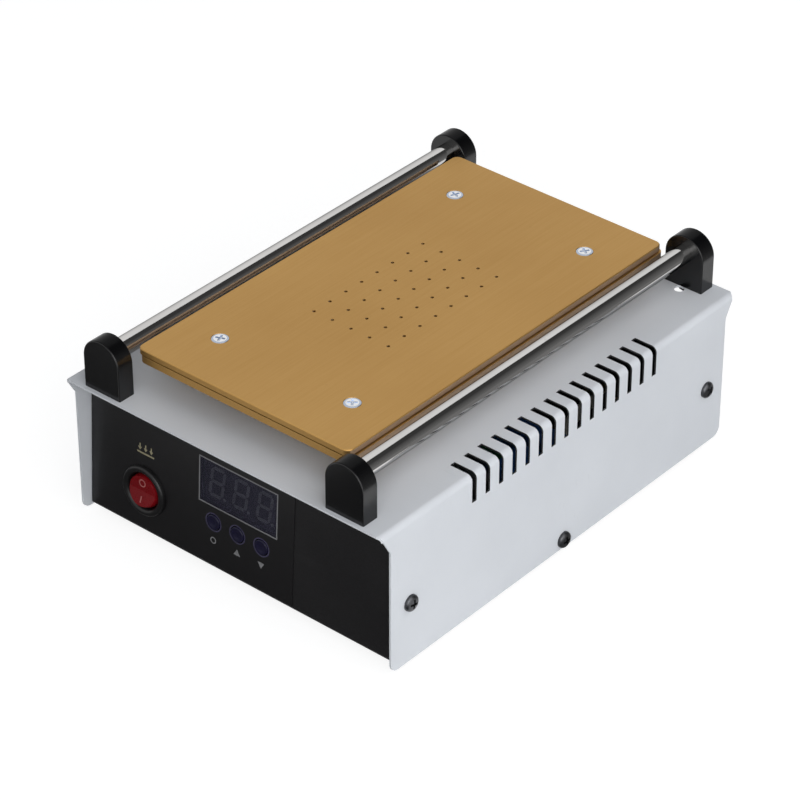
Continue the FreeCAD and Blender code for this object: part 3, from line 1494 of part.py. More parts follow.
def make_power_spacers():
    solids = []
    for at in power_hole_places():
        high = (BASE_TOP, POWER_LOW)
        solids.append(cut(cylinder("z", s.board_spacer, high, at), cylinder("z", s.board_screw, high, at)))
    return group(*solids)


def make_power_screws():
    length = s.circuit_thick + s.power_rise + s.base_sheet + s.screw_over
    screw = pan_screw(s.board_screw, length, s.board_head, s.board_head_high)
    return group(*[moved(screw, x, y, POWER_TOP) for x, y in power_hole_places()])


def make_transformer():
    """Iron core around a wound bobbin."""
    x = POWER_X
    y = POWER_Y - s.power_long / 4
    core_middle = POWER_TOP + s.coil_high / 2
    return fused(
        box(around(x, s.core_wide), around(y, s.core_long), around(core_middle, s.core_high)),
        box(around(x, s.coil_wide), around(y, s.coil_long), (POWER_TOP, POWER_TOP + s.coil_high)),
    )


def make_relay():
    x = POWER_X + s.power_wide / 4
    y = POWER_Y + s.power_long / 8
    high = (POWER_TOP, POWER_TOP + s.relay_high)
    return box(around(x, s.relay_wide), around(y, s.relay_long), high)


def make_capacitor():
    at = (POWER_X - s.power_wide / 4, POWER_Y + s.power_long / 8)
    top = POWER_TOP + s.capacitor_high
    shoulder = top - s.capacitor_bead
    return fused(
        cylinder("z", s.capacitor_wide, (POWER_TOP, shoulder), at),
        cone("z", s.capacitor_wide, s.capacitor_wide - 2 * s.capacitor_bead, (shoulder, top), at),
    )


def terminal_y():
    return POWER_Y + s.power_long / 2 - s.terminal_deep


def make_terminal_block():
    """Block with a screw well over each way."""
    high = (POWER_TOP, POWER_TOP + s.terminal_high)
    block = box(around(POWER_X, s.terminal_wide), around(terminal_y(), s.terminal_deep), high)
    count = int(s.terminal_count.value)
    wells = []
    for index in range(count):
        x = POWER_X + s.terminal_wide / s.terminal_count * (index - (count - 1) / 2)
        well = (high[1] - s.terminal_well, high[1])
        wells.append(cylinder("z", s.terminal_well, well, (x, terminal_y())))
    return cut(block, *wells)


# Hose and leads. Straight runs joined by tangent arcs, each arc as large as its
# two runs allow.

ARC_SHARE = 0.45


def tube(points, wide):
    """Round lead along a route of points. An arc tighter than half its width would fold."""
    places = [Vector(*[float(dim(value)) for value in point]) for point in points]
    edges = []
    start = places[0]
    for before, corner, after in zip(places, places[1:], places[2:]):
        back = (before - corner).normalize()
        ahead = (after - corner).normalize()
        turn = math.pi - back.getAngle(ahead)
        reach = ARC_SHARE * min(corner.distanceToPoint(before), corner.distanceToPoint(after))
        radius = reach / math.tan(turn / 2)
        first = corner + back * reach
        last = corner + ahead * reach
        centre = corner + (back + ahead).normalize() * (radius / math.cos(turn / 2))
        middle = centre + (corner - centre).normalize() * radius
        edges.append(Part.LineSegment(start, first).toShape())
        edges.append(Part.Arc(first, middle, last).toShape())
        start = last
        assert radius > float(dim(wide)) / 2, f"arc radius {radius:.1f} is too tight for the section"
    edges.append(Part.LineSegment(start, places[-1]).toShape())
    path = Part.Wire(edges)
    direction = (places[1] - places[0]).normalize()
    section = Part.Wire(Part.makeCircle(float(dim(wide)) / 2, places[0], direction))
    item = doc.addObject("Part::Feature", "Lead")
    item.Shape = path.makePipeShell([section], True, False)
    print(f"lead length {path.Length:.0f}")
    return item


def make_hose():
    """Hose from the nipple's barb straight down through the cover to the pump's port."""
    at = (s.nipple_x, s.nipple_y)
    return cut(
        cylinder("z", s.hose_wide, (PORT_SEAT, NIPPLE_SEAT), at),
        cylinder("z", s.barb_wide, (NIPPLE_END, NIPPLE_SEAT), at),
        cylinder("z", s.barb_wide, (PORT_SEAT, PORT_END), at),
        cylinder("z", s.air_bore, (PORT_END, NIPPLE_END), at),
    )


def terminal_way(index):
    """Middle of one way on the terminal block's rear face."""
    pitch = s.terminal_wide / s.terminal_count
    x = POWER_X + pitch * (index - (int(s.terminal_count.value) - 1) / 2)
    return (x, terminal_y() + s.terminal_deep / 2, POWER_TOP + s.terminal_high / 2)


def make_heater_lead():
    """Lead from the heater pad's end through its grommet to the terminal block."""
    high = LOWER_UNDER - s.running_gap - s.hose_wide / 2
    x, y, z = terminal_way(0)
    return tube([
        (s.lead_x, HALF_HEATER, high),
        (s.lead_x, LEAD_Y, high),
        (s.lead_x, LEAD_Y, z + s.lead_over),
        (x, y + s.lead_straight, z),
        (x, y, z),
    ], s.hose_wide)


def in_row_frame(end, y, z):
    """Point of an end panel's own frame in the object's frame; end is -1 or 1."""
    lean = math.radians(float(s.panel_lean))
    y = float(dim(y))
    z = float(dim(z))
    along = y * math.cos(lean) - end * z * math.sin(lean)
    up = z * math.cos(lean) + end * y * math.sin(lean)
    return end * float(PANEL_FOOT) + along, float(s.foot_height) + up


def make_mains_lead():
    """Lead from behind the inlet's pins to the terminal block."""
    up = s.mains_z + s.socket_z
    start = in_row_frame(1, -INLET_DEEP, up)
    after = in_row_frame(1, -INLET_DEEP - s.lead_room / 2, up)
    x, y, z = terminal_way(3)
    return tube([(INLET_X, *start), (INLET_X, *after), (x, y + s.lead_room / 3, z), (x, y, z)], s.lead_wide)


def make_signal_lead():
    """Lead from the control board's socket to the power board's top."""
    back = BOARD_FRONT + s.circuit_thick + s.socket_block_deep
    up = CONTROL_Z + s.socket_block_z
    x = POWER_X - s.power_wide / 4
    y = POWER_Y - s.power_long / 2 + s.lead_inset
    start = in_row_frame(-1, back, up)
    room = y - start[0]
    after = in_row_frame(-1, back + room * ARC_SHARE, up)
    bend = (x, y, POWER_TOP + s.lead_arch)
    return tube([(s.window_x, *start), (s.window_x, *after), bend, (x, y, POWER_TOP)], s.lead_wide)


# The object's pieces, each under its own name

post_shape = make_post_body()
nodes = {
    "base_chassis": make_chassis(),
    "cover": make_cover(),
    "cover_screws": make_cover_screws(),
    "feet": make_feet(),
    "foot_screws": make_foot_screws(),
    "top_plate": make_top_plate(),
    "plate_gasket": make_gasket(),
    "lower_plate": make_lower_plate(),
    "heater_pad": make_heater(),
    "insulation_board": make_insulation(),
    "plate_spacers": make_spacers(),
    "plate_screws": make_plate_screws(),
    "plate_nuts": make_plate_nuts(),
    "vacuum_nipple": make_nipple(),
    "vacuum_hose": make_hose(),
    "grommets": make_grommets(),
    "temperature_probe": make_probe(),
    "thermal_cutout": make_cutout(),
    "heater_lead": make_heater_lead(),
    "post_front_left": make_post(post_shape, -POST_X, -1),
    "post_front_right": make_post(post_shape, POST_X, -1),
    "post_rear_left": make_post(post_shape, -POST_X, 1),
    "post_rear_right": make_post(post_shape, POST_X, 1),
    "post_screws": make_post_screws(),
    "rod_left": make_rod(-POST_X),
    "rod_right": make_rod(POST_X),
    "front_overlay": make_film(),
    "display_window": make_window(),
    "display_module": make_display(),
    "control_board": make_control_board(),
    "board_spacers": make_board_spacers(),
    "panel_screws": make_panel_screws(),
    "tact_switches": make_tact_switches(),
    "pump_switch_body": make_pump_switch(),
    "pump_switch_rocker": make_pump_rocker(),
    "switch_terminals": make_switch_terminals(),
    "mains_switch_body": make_mains_switch(),
    "mains_switch_rocker": make_mains_rocker(),
    "mains_inlet": make_inlet(),
    "inlet_pins": make_inlet_pins(),
    "fuse_drawer": make_fuse_drawer(),
    "fuse": make_fuse(),
    "mains_lead": make_mains_lead(),
    "pump_motor": make_motor(),
    "pump_bracket": make_pump_bracket(),
    "pump_feet": make_pump_feet(),
    "pump_screws": make_pump_screws(),
    "pump_head": make_pump_head(),
    "pump_shaft": make_pump_shaft(),
    "power_board": make_power_board(),
    "power_spacers": make_power_spacers(),
    "power_screws": make_power_screws(),
    "transformer": make_transformer(),
    "relay": make_relay(),
    "filter_capacitor": make_capacitor(),
    "terminal_block": make_terminal_block(),
    "signal_lead": make_signal_lead(),
}
for name, index in BUTTONS.items():
    nodes[name] = make_button(index)
for name, item in nodes.items():
    item.Label = name
doc.recompute()


# Check every object, then write each piece

for item in doc.Objects:
    bad = [state for state in item.State if state in ("Invalid", "Error")]
    assert not bad, f"{item.Name} ({item.Label}) is {bad}"
os.makedirs("parts", exist_ok=True)
for name, item in nodes.items():
    shape = item.Shape
    assert not shape.isNull() and shape.isValid(), f"{name} has no valid shape"
    assert shape.Solids, f"{name} has no solid"
    shape.exportStep(f"parts/{name}.step")
    print(f"{name}: {len(shape.Solids)} solids, {shape.Volume:.0f} mm3")
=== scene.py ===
import json
import math

import bmesh
import bpy
from mathutils import Matrix, Vector
from mathutils.bvhtree import BVHTree

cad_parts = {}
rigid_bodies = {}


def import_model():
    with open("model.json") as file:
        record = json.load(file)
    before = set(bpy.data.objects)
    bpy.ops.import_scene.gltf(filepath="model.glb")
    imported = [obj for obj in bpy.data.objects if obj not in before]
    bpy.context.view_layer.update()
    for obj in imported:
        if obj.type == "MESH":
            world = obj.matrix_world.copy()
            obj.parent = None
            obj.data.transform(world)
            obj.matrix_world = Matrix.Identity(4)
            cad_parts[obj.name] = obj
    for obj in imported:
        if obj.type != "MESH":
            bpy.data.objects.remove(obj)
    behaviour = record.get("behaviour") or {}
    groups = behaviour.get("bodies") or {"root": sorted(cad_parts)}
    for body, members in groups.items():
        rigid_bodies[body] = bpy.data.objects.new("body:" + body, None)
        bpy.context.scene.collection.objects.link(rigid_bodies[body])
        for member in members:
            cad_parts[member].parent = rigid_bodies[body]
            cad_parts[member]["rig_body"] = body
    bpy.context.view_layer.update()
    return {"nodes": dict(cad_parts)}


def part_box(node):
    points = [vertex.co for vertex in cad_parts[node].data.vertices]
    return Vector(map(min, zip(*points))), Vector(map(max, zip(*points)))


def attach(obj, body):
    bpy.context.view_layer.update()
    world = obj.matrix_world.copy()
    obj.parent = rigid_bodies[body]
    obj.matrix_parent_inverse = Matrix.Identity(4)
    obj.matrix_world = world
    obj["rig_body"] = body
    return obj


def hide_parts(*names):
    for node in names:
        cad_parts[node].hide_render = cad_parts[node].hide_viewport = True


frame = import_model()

NODES = frame["nodes"]
MM = 0.001

# End panels: both lean inwards, with their feet behind the cover's top edges
LEAN = math.radians(3.66)
PANEL_FOOT = 98.8 * MM
BASE_UNDER = 5.0 * MM
FILM_FACE = 0.3 * MM
INK = 0.04 * MM

# Front panel, across from its middle and up from its foot
WINDOW = (-1.2 * MM, 38.7 * MM)
WINDOW_SIZE = (40.0 * MM, 20.0 * MM)
MODULE_SIZE = (37.6 * MM, 18.6 * MM, 8.0 * MM)
MODULE_FACE = -1.3 * MM
KEY_PLACES = {"button_set": -13.6 * MM, "button_up": -1.2 * MM, "button_down": 11.2 * MM}
KEY_HEIGHT = 21.5 * MM
SIGN_HEIGHT = 13.2 * MM
PUMP_SWITCH = (-49.7 * MM, 19.9 * MM)
PUMP_SIGN_HEIGHT = 38.2 * MM

# Rear panel, across from its middle and up from its foot
MAINS_SWITCH = (0.0, 27.0 * MM)

# Plate screws: their places each side of the plates' middle
PLATE_SCREWS = (33.5 * MM, 70.0 * MM)

# Camera: place, line of sight, roll, lens in mm, and the picture's shift in shares of its width
CAMERA_PLACE = (0.734289, -0.861844, 0.811913)
CAMERA_SIGHT = (-0.529198, 0.639991, -0.557100)
CAMERA_ROLL = math.radians(0.502)
CAMERA_LENS = 155.293
CAMERA_SHIFT = (-0.0603, -0.0361)


def panel_matrix(end):
    """An end panel's own frame: across as its viewer sees it, up the panel, outwards."""
    across = Vector((-end, 0, 0))
    up = Vector((0, -end * math.sin(LEAN), math.cos(LEAN)))
    turn = Matrix((across, up, across.cross(up))).transposed().to_4x4()
    return Matrix.Translation((0, end * PANEL_FOOT, BASE_UNDER)) @ turn


FRONT = panel_matrix(-1)
REAR = panel_matrix(1)


def on_panel(panel, across, up, out=0.0):
    return panel @ Matrix.Translation((across, up, out))


# Node trees

def add(tree, kind, feeds=None, **settings):
    """One node; feeds maps its inputs to values or to the outputs that they take."""
    node = tree.nodes.new(kind)
    for name, value in settings.items():
        setattr(node, name, value)
    for key, value in (feeds or {}).items():
        if isinstance(value, bpy.types.NodeSocket):
            tree.links.new(value, node.inputs[key])
        else:
            node.inputs[key].default_value = value
    return node


def sockets(tree, inputs, outputs):
    """Named sockets of a group: inputs with their kind and value, outputs with their kind."""
    for name, (kind, value) in inputs.items():
        socket = tree.interface.new_socket(name, in_out="INPUT", socket_type="NodeSocket" + kind)
        if value is not None:
            socket.default_value = value
    for name, kind in outputs.items():
        tree.interface.new_socket(name, in_out="OUTPUT", socket_type="NodeSocket" + kind)
    return tree.nodes.new("NodeGroupInput").outputs, tree.nodes.new("NodeGroupOutput").inputs


def maths(tree, operation, *values):
    feeds = dict(enumerate(values))
    return add(tree, "ShaderNodeMath", feeds, operation=operation).outputs[0]


def fitted(tree, value, low, high, to_low=0.0, to_high=1.0):
    """Value rescaled from one range to another, held inside it."""
    feeds = {"Value": value, "From Min": low, "From Max": high, "To Min": to_low, "To Max": to_high}
    return add(tree, "ShaderNodeMapRange", feeds).outputs["Result"]


def mixed(tree, amount, first, second):
    """Colour between two: amount is the share of the second."""
    feeds = {0: amount, 6: first, 7: second}
    return add(tree, "ShaderNodeMix", feeds, data_type="RGBA").outputs[2]


def shifted(tree, shape, offset):
    feeds = {"Geometry": shape, "Offset": offset}
    return add(tree, "GeometryNodeSetPosition", feeds).outputs[0]


def set_on_places(tree, places, shape):
    """The shape on each place, turned as the place says."""
    turn = add(tree, "GeometryNodeInputNamedAttribute", {"Name": "turn"}, data_type="FLOAT_VECTOR").outputs[0]
    aligned = add(tree, "FunctionNodeEulerToRotation", {0: turn}).outputs[0]
    feeds = {"Points": places, "Instance": shape, "Rotation": aligned}
    copies = add(tree, "GeometryNodeInstanceOnPoints", feeds).outputs[0]
    return add(tree, "GeometryNodeRealizeInstances", {0: copies}).outputs[0]


def grain_group():
    """Fine texture of a finish, stretched along its grain, with slow blotches."""
    tree = bpy.data.node_groups.new("finish grain", "ShaderNodeTree")
    given, out = sockets(
        tree,
        {"Cells": ("Float", 900.0), "Stretch": ("Vector", (1, 1, 1)), "Blotches": ("Float", 28.0)},
        {"Grain": "Float", "Mottle": "Float"},
    )
    place = add(tree, "ShaderNodeTexCoord").outputs["Object"]
    lined = add(tree, "ShaderNodeVectorMath", {0: place, 1: given["Stretch"]}, operation="MULTIPLY")
    feeds = {"Vector": lined.outputs[0], "Scale": given["Cells"], "Detail": 2.0}
    fine = add(tree, "ShaderNodeTexNoise", feeds)
    slow = add(tree, "ShaderNodeTexNoise", {"Vector": place, "Scale": given["Blotches"], "Detail": 4.0})
    tree.links.new(fitted(tree, fine.outputs["Fac"], 0.25, 0.75), out["Grain"])
    tree.links.new(fitted(tree, slow.outputs["Fac"], 0.3, 0.7), out["Mottle"])
    return tree


def marks_group():
    """Handling marks: specks of dust and thin short scratches."""
    tree = bpy.data.node_groups.new("handling marks", "ShaderNodeTree")
    given, out = sockets(
        tree,
        {"Speck Cells": ("Float", 160.0), "Speck Size": ("Float", 0.12), "Scratches": ("Float", 0.5)},
        {"Marks": "Float"},
    )
    place = add(tree, "ShaderNodeTexCoord").outputs["Object"]
    dots = add(tree, "ShaderNodeTexVoronoi", {"Vector": place, "Scale": given["Speck Cells"]})
    rare = add(tree, "ShaderNodeSeparateColor", {"Color": dots.outputs["Color"]}).outputs["Red"]
    near = maths(tree, "LESS_THAN", dots.outputs["Distance"], given["Speck Size"])
    specks = maths(tree, "MULTIPLY", near, maths(tree, "GREATER_THAN", rare, 0.9))
    feeds = {"Vector": place, "Rotation": (0.3, 0.5, 0.9), "Scale": (14, 1100, 220)}
    drawn_out = add(tree, "ShaderNodeMapping", feeds)
    lines = add(tree, "ShaderNodeTexNoise", {"Vector": drawn_out.outputs[0], "Scale": 1.0, "Detail": 1.0})
    patch = add(tree, "ShaderNodeTexNoise", {"Vector": place, "Scale": 24.0, "Detail": 1.0})
    thin = fitted(tree, lines.outputs["Fac"], 0.69, 0.74)
    some = fitted(tree, patch.outputs["Fac"], 0.52, 0.66)
    scratches = maths(tree, "MULTIPLY", maths(tree, "MULTIPLY", thin, some), given["Scratches"])
    tree.links.new(maths(tree, "MAXIMUM", specks, scratches), out["Marks"])
    return tree


GRAIN = grain_group()
MARKS = marks_group()


def finish(name, dark, light, rough, metal=0.0, cells=900.0, stretch=(1, 1, 1), blotches=28.0, bump=0.1,
           marks=0.0, mark_colour=(0.5, 0.5, 0.5), speck_cells=160.0, shine=0.5, rim=1.0, alpha=1.0,
           coat=0.0):
    """Finish whose colour runs from dark to light in blotches, and roughness with its grain."""
    material = bpy.data.materials.new(name)
    material.use_nodes = True
    tree = material.node_tree
    shader = tree.nodes["Principled BSDF"]
    texture = add(tree, "ShaderNodeGroup", node_tree=GRAIN)
    texture.inputs["Cells"].default_value = cells
    texture.inputs["Stretch"].default_value = stretch
    texture.inputs["Blotches"].default_value = blotches
    grain, mottle = texture.outputs["Grain"], texture.outputs["Mottle"]
    colour = mixed(tree, mottle, (*dark, 1), (*light, 1))
    if marks:
        marked = add(tree, "ShaderNodeGroup", node_tree=MARKS)
        marked.inputs["Speck Cells"].default_value = speck_cells
        amount = maths(tree, "MULTIPLY", marked.outputs["Marks"], marks)
        colour = mixed(tree, amount, colour, (*mark_colour, 1))
    tree.links.new(colour, shader.inputs["Base Color"])
    tree.links.new(fitted(tree, grain, 0.0, 1.0, rough[0], rough[1]), shader.inputs["Roughness"])
    relief = add(tree, "ShaderNodeBump", {"Height": grain, "Strength": bump, "Distance": 0.05 * MM})
    tree.links.new(relief.outputs["Normal"], shader.inputs["Normal"])
    shader.inputs["Metallic"].default_value = metal
    shader.inputs["Specular IOR Level"].default_value = shine
    shader.inputs["Specular Tint"].default_value = (rim, rim, rim, 1)
    shader.inputs["Coat Weight"].default_value = coat
    shader.inputs["Alpha"].default_value = alpha
    return material


FINISHES = {
    "powder_white": finish("white powder coat", (0.596, 0.614, 0.645), (0.631, 0.649, 0.680), (0.46, 0.6),
                           cells=1500, bump=0.2, marks=0.16, mark_colour=(0.36, 0.36, 0.36), speck_cells=90,
                           shine=0.25),
    "powder_black": finish("black powder coat", (0.008, 0.0076, 0.0084), (0.012, 0.0114, 0.0122), (0.42, 0.6),
                           cells=1500, bump=0.25, marks=0.2, mark_colour=(0.03, 0.03, 0.03), shine=0.25),
    "anodised_gold": finish("gold anodised plate", (0.438, 0.256, 0.081), (0.477, 0.286, 0.095), (0.46, 0.58),
                            metal=1.0, cells=1800, stretch=(1, 0.02, 1), blotches=14, bump=0.06, marks=0.12,
                            mark_colour=(0.30, 0.18, 0.06)),
    "silicone_red": finish("red silicone gasket", (0.30, 0.05, 0.03), (0.36, 0.07, 0.04), (0.5, 0.65),
                           bump=0.1),
    "zinc": finish("bright zinc plating", (0.70, 0.71, 0.74), (0.80, 0.81, 0.82), (0.16, 0.34), metal=1.0,
                   cells=2600, bump=0.05, marks=0.3, mark_colour=(0.4, 0.41, 0.44)),
    "bare_aluminium": finish("turned aluminium", (0.60, 0.61, 0.62), (0.72, 0.72, 0.73), (0.28, 0.45),
                             metal=1.0, cells=2400, stretch=(0.05, 0.05, 1), bump=0.1),
    "heater_orange": finish("heater film", (0.52, 0.17, 0.03), (0.60, 0.22, 0.05), (0.35, 0.5), cells=600,
                            bump=0.15, blotches=90),
    "fibre_white": finish("fibre board", (0.60, 0.58, 0.53), (0.74, 0.72, 0.67), (0.75, 0.92), cells=420,
                          stretch=(1, 0.3, 2.5), bump=0.8, blotches=60),
    "black_steel": finish("blackened steel", (0.055, 0.056, 0.06), (0.095, 0.097, 0.104), (0.28, 0.46),
                          metal=1.0, cells=2600, bump=0.08, marks=0.3, mark_colour=(0.2, 0.2, 0.21)),
    "post_black": finish("black moulded post", (0.0030, 0.0030, 0.0034), (0.0038, 0.0038, 0.0042),
                         (0.2, 0.26), cells=1300, bump=0.03, marks=0.02, mark_colour=(0.03, 0.03, 0.03),
                         shine=0.46),
    "chrome": finish("polished chrome", (0.58, 0.57, 0.56), (0.64, 0.63, 0.62), (0.05, 0.1), metal=1.0,
                     cells=3000, stretch=(1, 0.03, 1), bump=0.012, marks=0.12,
                     mark_colour=(0.25, 0.25, 0.25), rim=0.3),
    "film_black": finish("black front film", (0.0058, 0.0055, 0.0062), (0.0076, 0.0071, 0.0079), (0.3, 0.42),
                         cells=2200, bump=0.05, marks=0.1, mark_colour=(0.03, 0.03, 0.03), shine=0.45),
    "smoked_window": finish("smoked window", (0.031, 0.030, 0.047), (0.036, 0.035, 0.055), (0.12, 0.2),
                            cells=300, bump=0.02, shine=0.5, alpha=0.5),
    "display_black": finish("display casing", (0.018, 0.019, 0.026), (0.024, 0.025, 0.034), (0.4, 0.55),
                            bump=0.1),
    "key_blue": finish("dark blue key", (0.0045, 0.0037, 0.018), (0.0065, 0.0052, 0.024), (0.34, 0.46),
                       cells=1800, bump=0.08, shine=0.3),
    "switch_black": finish("black moulded housing", (0.0056, 0.0054, 0.0058), (0.008, 0.0078, 0.0082),
                           (0.3, 0.44), cells=1600, bump=0.12, marks=0.1, mark_colour=(0.03, 0.03, 0.03),
                           shine=0.35),
    "rocker_red": finish("red rocker", (0.145, 0.0025, 0.005), (0.19, 0.004, 0.007), (0.24, 0.34), cells=1800,
                         bump=0.05, marks=0.12, mark_colour=(0.10, 0.008, 0.010), shine=0.17),
    "brass": finish("brass", (0.60, 0.43, 0.16), (0.70, 0.52, 0.22), (0.22, 0.38), metal=1.0, cells=2600,
                    bump=0.06),
    "fuse_glass": finish("fuse glass and caps", (0.50, 0.52, 0.52), (0.58, 0.60, 0.60), (0.08, 0.16),
                         bump=0.02, coat=0.5),
    "rubber_black": finish("black rubber", (0.010, 0.010, 0.010), (0.019, 0.019, 0.018), (0.62, 0.82),
                           cells=1400, bump=0.35, marks=0.3, mark_colour=(0.08, 0.078, 0.075), shine=0.3),
    "hose_silicone": finish("silicone hose", (0.50, 0.51, 0.50), (0.60, 0.61, 0.60), (0.3, 0.45),
                            bump=0.06),
    "lead_sleeve": finish("glass fibre sleeve", (0.50, 0.47, 0.40), (0.62, 0.59, 0.52), (0.6, 0.8),
                          cells=2200, stretch=(1, 1, 0.4), bump=0.6),
    "motor_steel": finish("drawn steel can", (0.30, 0.31, 0.32), (0.42, 0.43, 0.44), (0.26, 0.42), metal=1.0,
                          cells=2000, stretch=(1, 0.05, 1), bump=0.1, marks=0.2,
                          mark_colour=(0.15, 0.15, 0.15)),
    "board_green": finish("green circuit board", (0.012, 0.095, 0.032), (0.02, 0.14, 0.05), (0.3, 0.45),
                          cells=700, bump=0.1, blotches=180),
    "relay_blue": finish("blue moulded block", (0.015, 0.075, 0.26), (0.022, 0.10, 0.33), (0.35, 0.48),
                         bump=0.08),
    "capacitor_sleeve": finish("capacitor sleeve", (0.010, 0.016, 0.045), (0.014, 0.022, 0.06), (0.25, 0.38),
                               bump=0.06),
}
SILVER_INK = finish("silver ink", (0.155, 0.155, 0.16), (0.19, 0.19, 0.195), (0.4, 0.5), cells=1800)
CREAM_INK = finish("cream ink", (0.24, 0.215, 0.13), (0.30, 0.27, 0.17), (0.45, 0.55), cells=1800)
KEY_INK = finish("dusky blue ink", (0.036, 0.032, 0.066), (0.050, 0.045, 0.09), (0.4, 0.5), cells=1800)
MARK_INK = finish("pale red ink", (0.33, 0.10, 0.095), (0.39, 0.13, 0.12), (0.35, 0.45), cells=1800)
SEGMENT = finish("unlit segment", (0.30, 0.31, 0.335), (0.33, 0.34, 0.365), (0.35, 0.45), cells=1800)


# Shapes

def piece(name, mesh, body, slot=None, material=None, stands_for=(), sharp=32):
    """Named object at the origin that rides on a body, with its finish and its CAD nodes."""
    mesh.materials.clear()
    mesh.materials.append(material or FINISHES[slot])
    mesh.shade_smooth()
    mesh.set_sharp_from_angle(angle=math.radians(sharp))
    item = bpy.data.objects.new(name, mesh)
    bpy.context.scene.collection.objects.link(item)
    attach(item, body)
    if stands_for:
        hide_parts(*stands_for)
    return item


def mesh_of(bm, name, place=None):
    """Mesh of a bmesh that is no longer needed, set in place with its faces outwards."""
    if place is not None:
        bm.transform(place)
    bmesh.ops.recalc_face_normals(bm, faces=bm.faces)
    mesh = bpy.data.meshes.new(name)
    bm.to_mesh(mesh)
    bm.free()
    return mesh


def joined(*parts):
    """One bmesh of several."""
    whole = parts[0]
    for part in parts[1:]:
        scrap = bpy.data.meshes.new("part")
        part.to_mesh(scrap)
        part.free()
        whole.from_mesh(scrap)
        bpy.data.meshes.remove(scrap)
    return whole


def rounded(points):
    """Profile with rounded corners. Each point is (across, up) or (across, up, reach of the rounding)."""
    steps = 6
    result = []
    for index, (across, up, *reach) in enumerate(points):
        corner = Vector((across, up))
        if not reach:
            result.append(corner)
            continue
        before = Vector(points[index - 1][:2])
        after = Vector(points[(index + 1) % len(points)][:2])
        start = corner + (before - corner).normalized() * reach[0]
        end = corner + (after - corner).normalized() * reach[0]
        for step in range(steps + 1):
            t = step / steps
            result.append((1 - t) ** 2 * start + 2 * t * (1 - t) * corner + t ** 2 * end)
    return result


def turned(profile, sides=72):
    """Shape turned about its own Z axis through (radius, height) points, from axis to axis."""
    bm = bmesh.new()
    rings = []
    for radius, height in profile:
        count = sides if radius > 1e-7 else 1
        angles = [2 * math.pi * side / count for side in range(count)]
        rings.append([bm.verts.new((radius * math.cos(a), radius * math.sin(a), height)) for a in angles])
    for low, high in zip(rings, rings[1:]):
        for side in range(sides):
            after = (side + 1) % sides
            lower = [low[side % len(low)], low[after % len(low)]]
            upper = [high[after % len(high)], high[side % len(high)]]
            corners = list(dict.fromkeys(lower + upper))
            if len(corners) > 2:
                bm.faces.new(corners)
    return bm


def raised(outer, low, high, inner=()):
    """Flat shape with an outline and, for a frame, an equal count of inner points."""
    bm = bmesh.new()
    if inner:
        loops = [[bm.verts.new((x, y, z)) for x, y in points] for points, z in
                 ((outer, low), (outer, high), (inner, high), (inner, low))]
        for first, second in zip(loops, loops[1:] + loops[:1]):
            for index in range(len(first)):
                after = (index + 1) % len(first)
                bm.faces.new((first[index], first[after], second[after], second[index]))
        return bm
    base = [bm.verts.new((x, y, low)) for x, y in outer]
    top = [bm.verts.new((x, y, high)) for x, y in outer]
    bm.faces.new(base)
    bm.faces.new(top)
    for index in range(len(base)):
        after = (index + 1) % len(base)
        bm.faces.new((base[index], base[after], top[after], top[index]))
    return bm


def circle(radius, count=48, centre=(0.0, 0.0)):
    angles = [2 * math.pi * index / count for index in range(count)]
    return [(centre[0] + radius * math.cos(a), centre[1] + radius * math.sin(a)) for a in angles]


def oblong(wide, high, centre=(0.0, 0.0)):
    corners = ((-1, -1), (1, -1), (1, 1), (-1, 1))
    return [(centre[0] + x * wide / 2, centre[1] + y * high / 2) for x, y in corners]


def triangle(half_wide, base, tip, centre=(0.0, 0.0)):
    """Triangle whose base and tip stand at heights from its centre."""
    x, y = centre
    return [(x - half_wide, y + base), (x, y + tip), (x + half_wide, y + base)]


def eased_copy(node, width, segments=2):
    """Piece with a CAD node's own shape, its triangles joined into faces and its edges eased."""
    flat_angle = math.radians(0.4)
    edge_angle = 30
    bm = bmesh.new()
    bm.from_mesh(NODES[node].data)
    bmesh.ops.remove_doubles(bm, verts=bm.verts, dist=1e-6)
    bmesh.ops.dissolve_limit(bm, angle_limit=flat_angle, verts=bm.verts, edges=bm.edges)
    mesh = bpy.data.meshes.new(node + "_shape")
    bm.to_mesh(mesh)
    bm.free()
    slot = NODES[node].data.materials[0].name
    item = piece(node + "_look", mesh, NODES[node]["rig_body"], slot, stands_for=[node], sharp=edge_angle)
    ease = item.modifiers.new("Eased edges", "BEVEL")
    ease.width = width
    ease.segments = segments
    ease.limit_method = "ANGLE"
    ease.angle_limit = math.radians(edge_angle)
    ease.harden_normals = True


# Camera, light and floor

def make_camera():
    """Camera at the photograph's angle, set by its place, direction and lens."""
    forward = Vector(CAMERA_SIGHT).normalized()
    level = forward.cross(Vector((0, 0, 1))).normalized()
    upright = level.cross(forward)
    right = level * math.cos(CAMERA_ROLL) + upright * math.sin(CAMERA_ROLL)
    up = upright * math.cos(CAMERA_ROLL) - level * math.sin(CAMERA_ROLL)
    data = bpy.data.cameras.new("camera")
    data.sensor_width = 36.0
    data.lens = CAMERA_LENS
    data.shift_x, data.shift_y = CAMERA_SHIFT
    data.clip_start = 0.05
    camera = bpy.data.objects.new("camera", data)
    turn = Matrix((right, up, -forward)).transposed().to_4x4()
    camera.matrix_world = Matrix.Translation(CAMERA_PLACE) @ turn
    bpy.context.scene.collection.objects.link(camera)
    bpy.context.scene.camera = camera


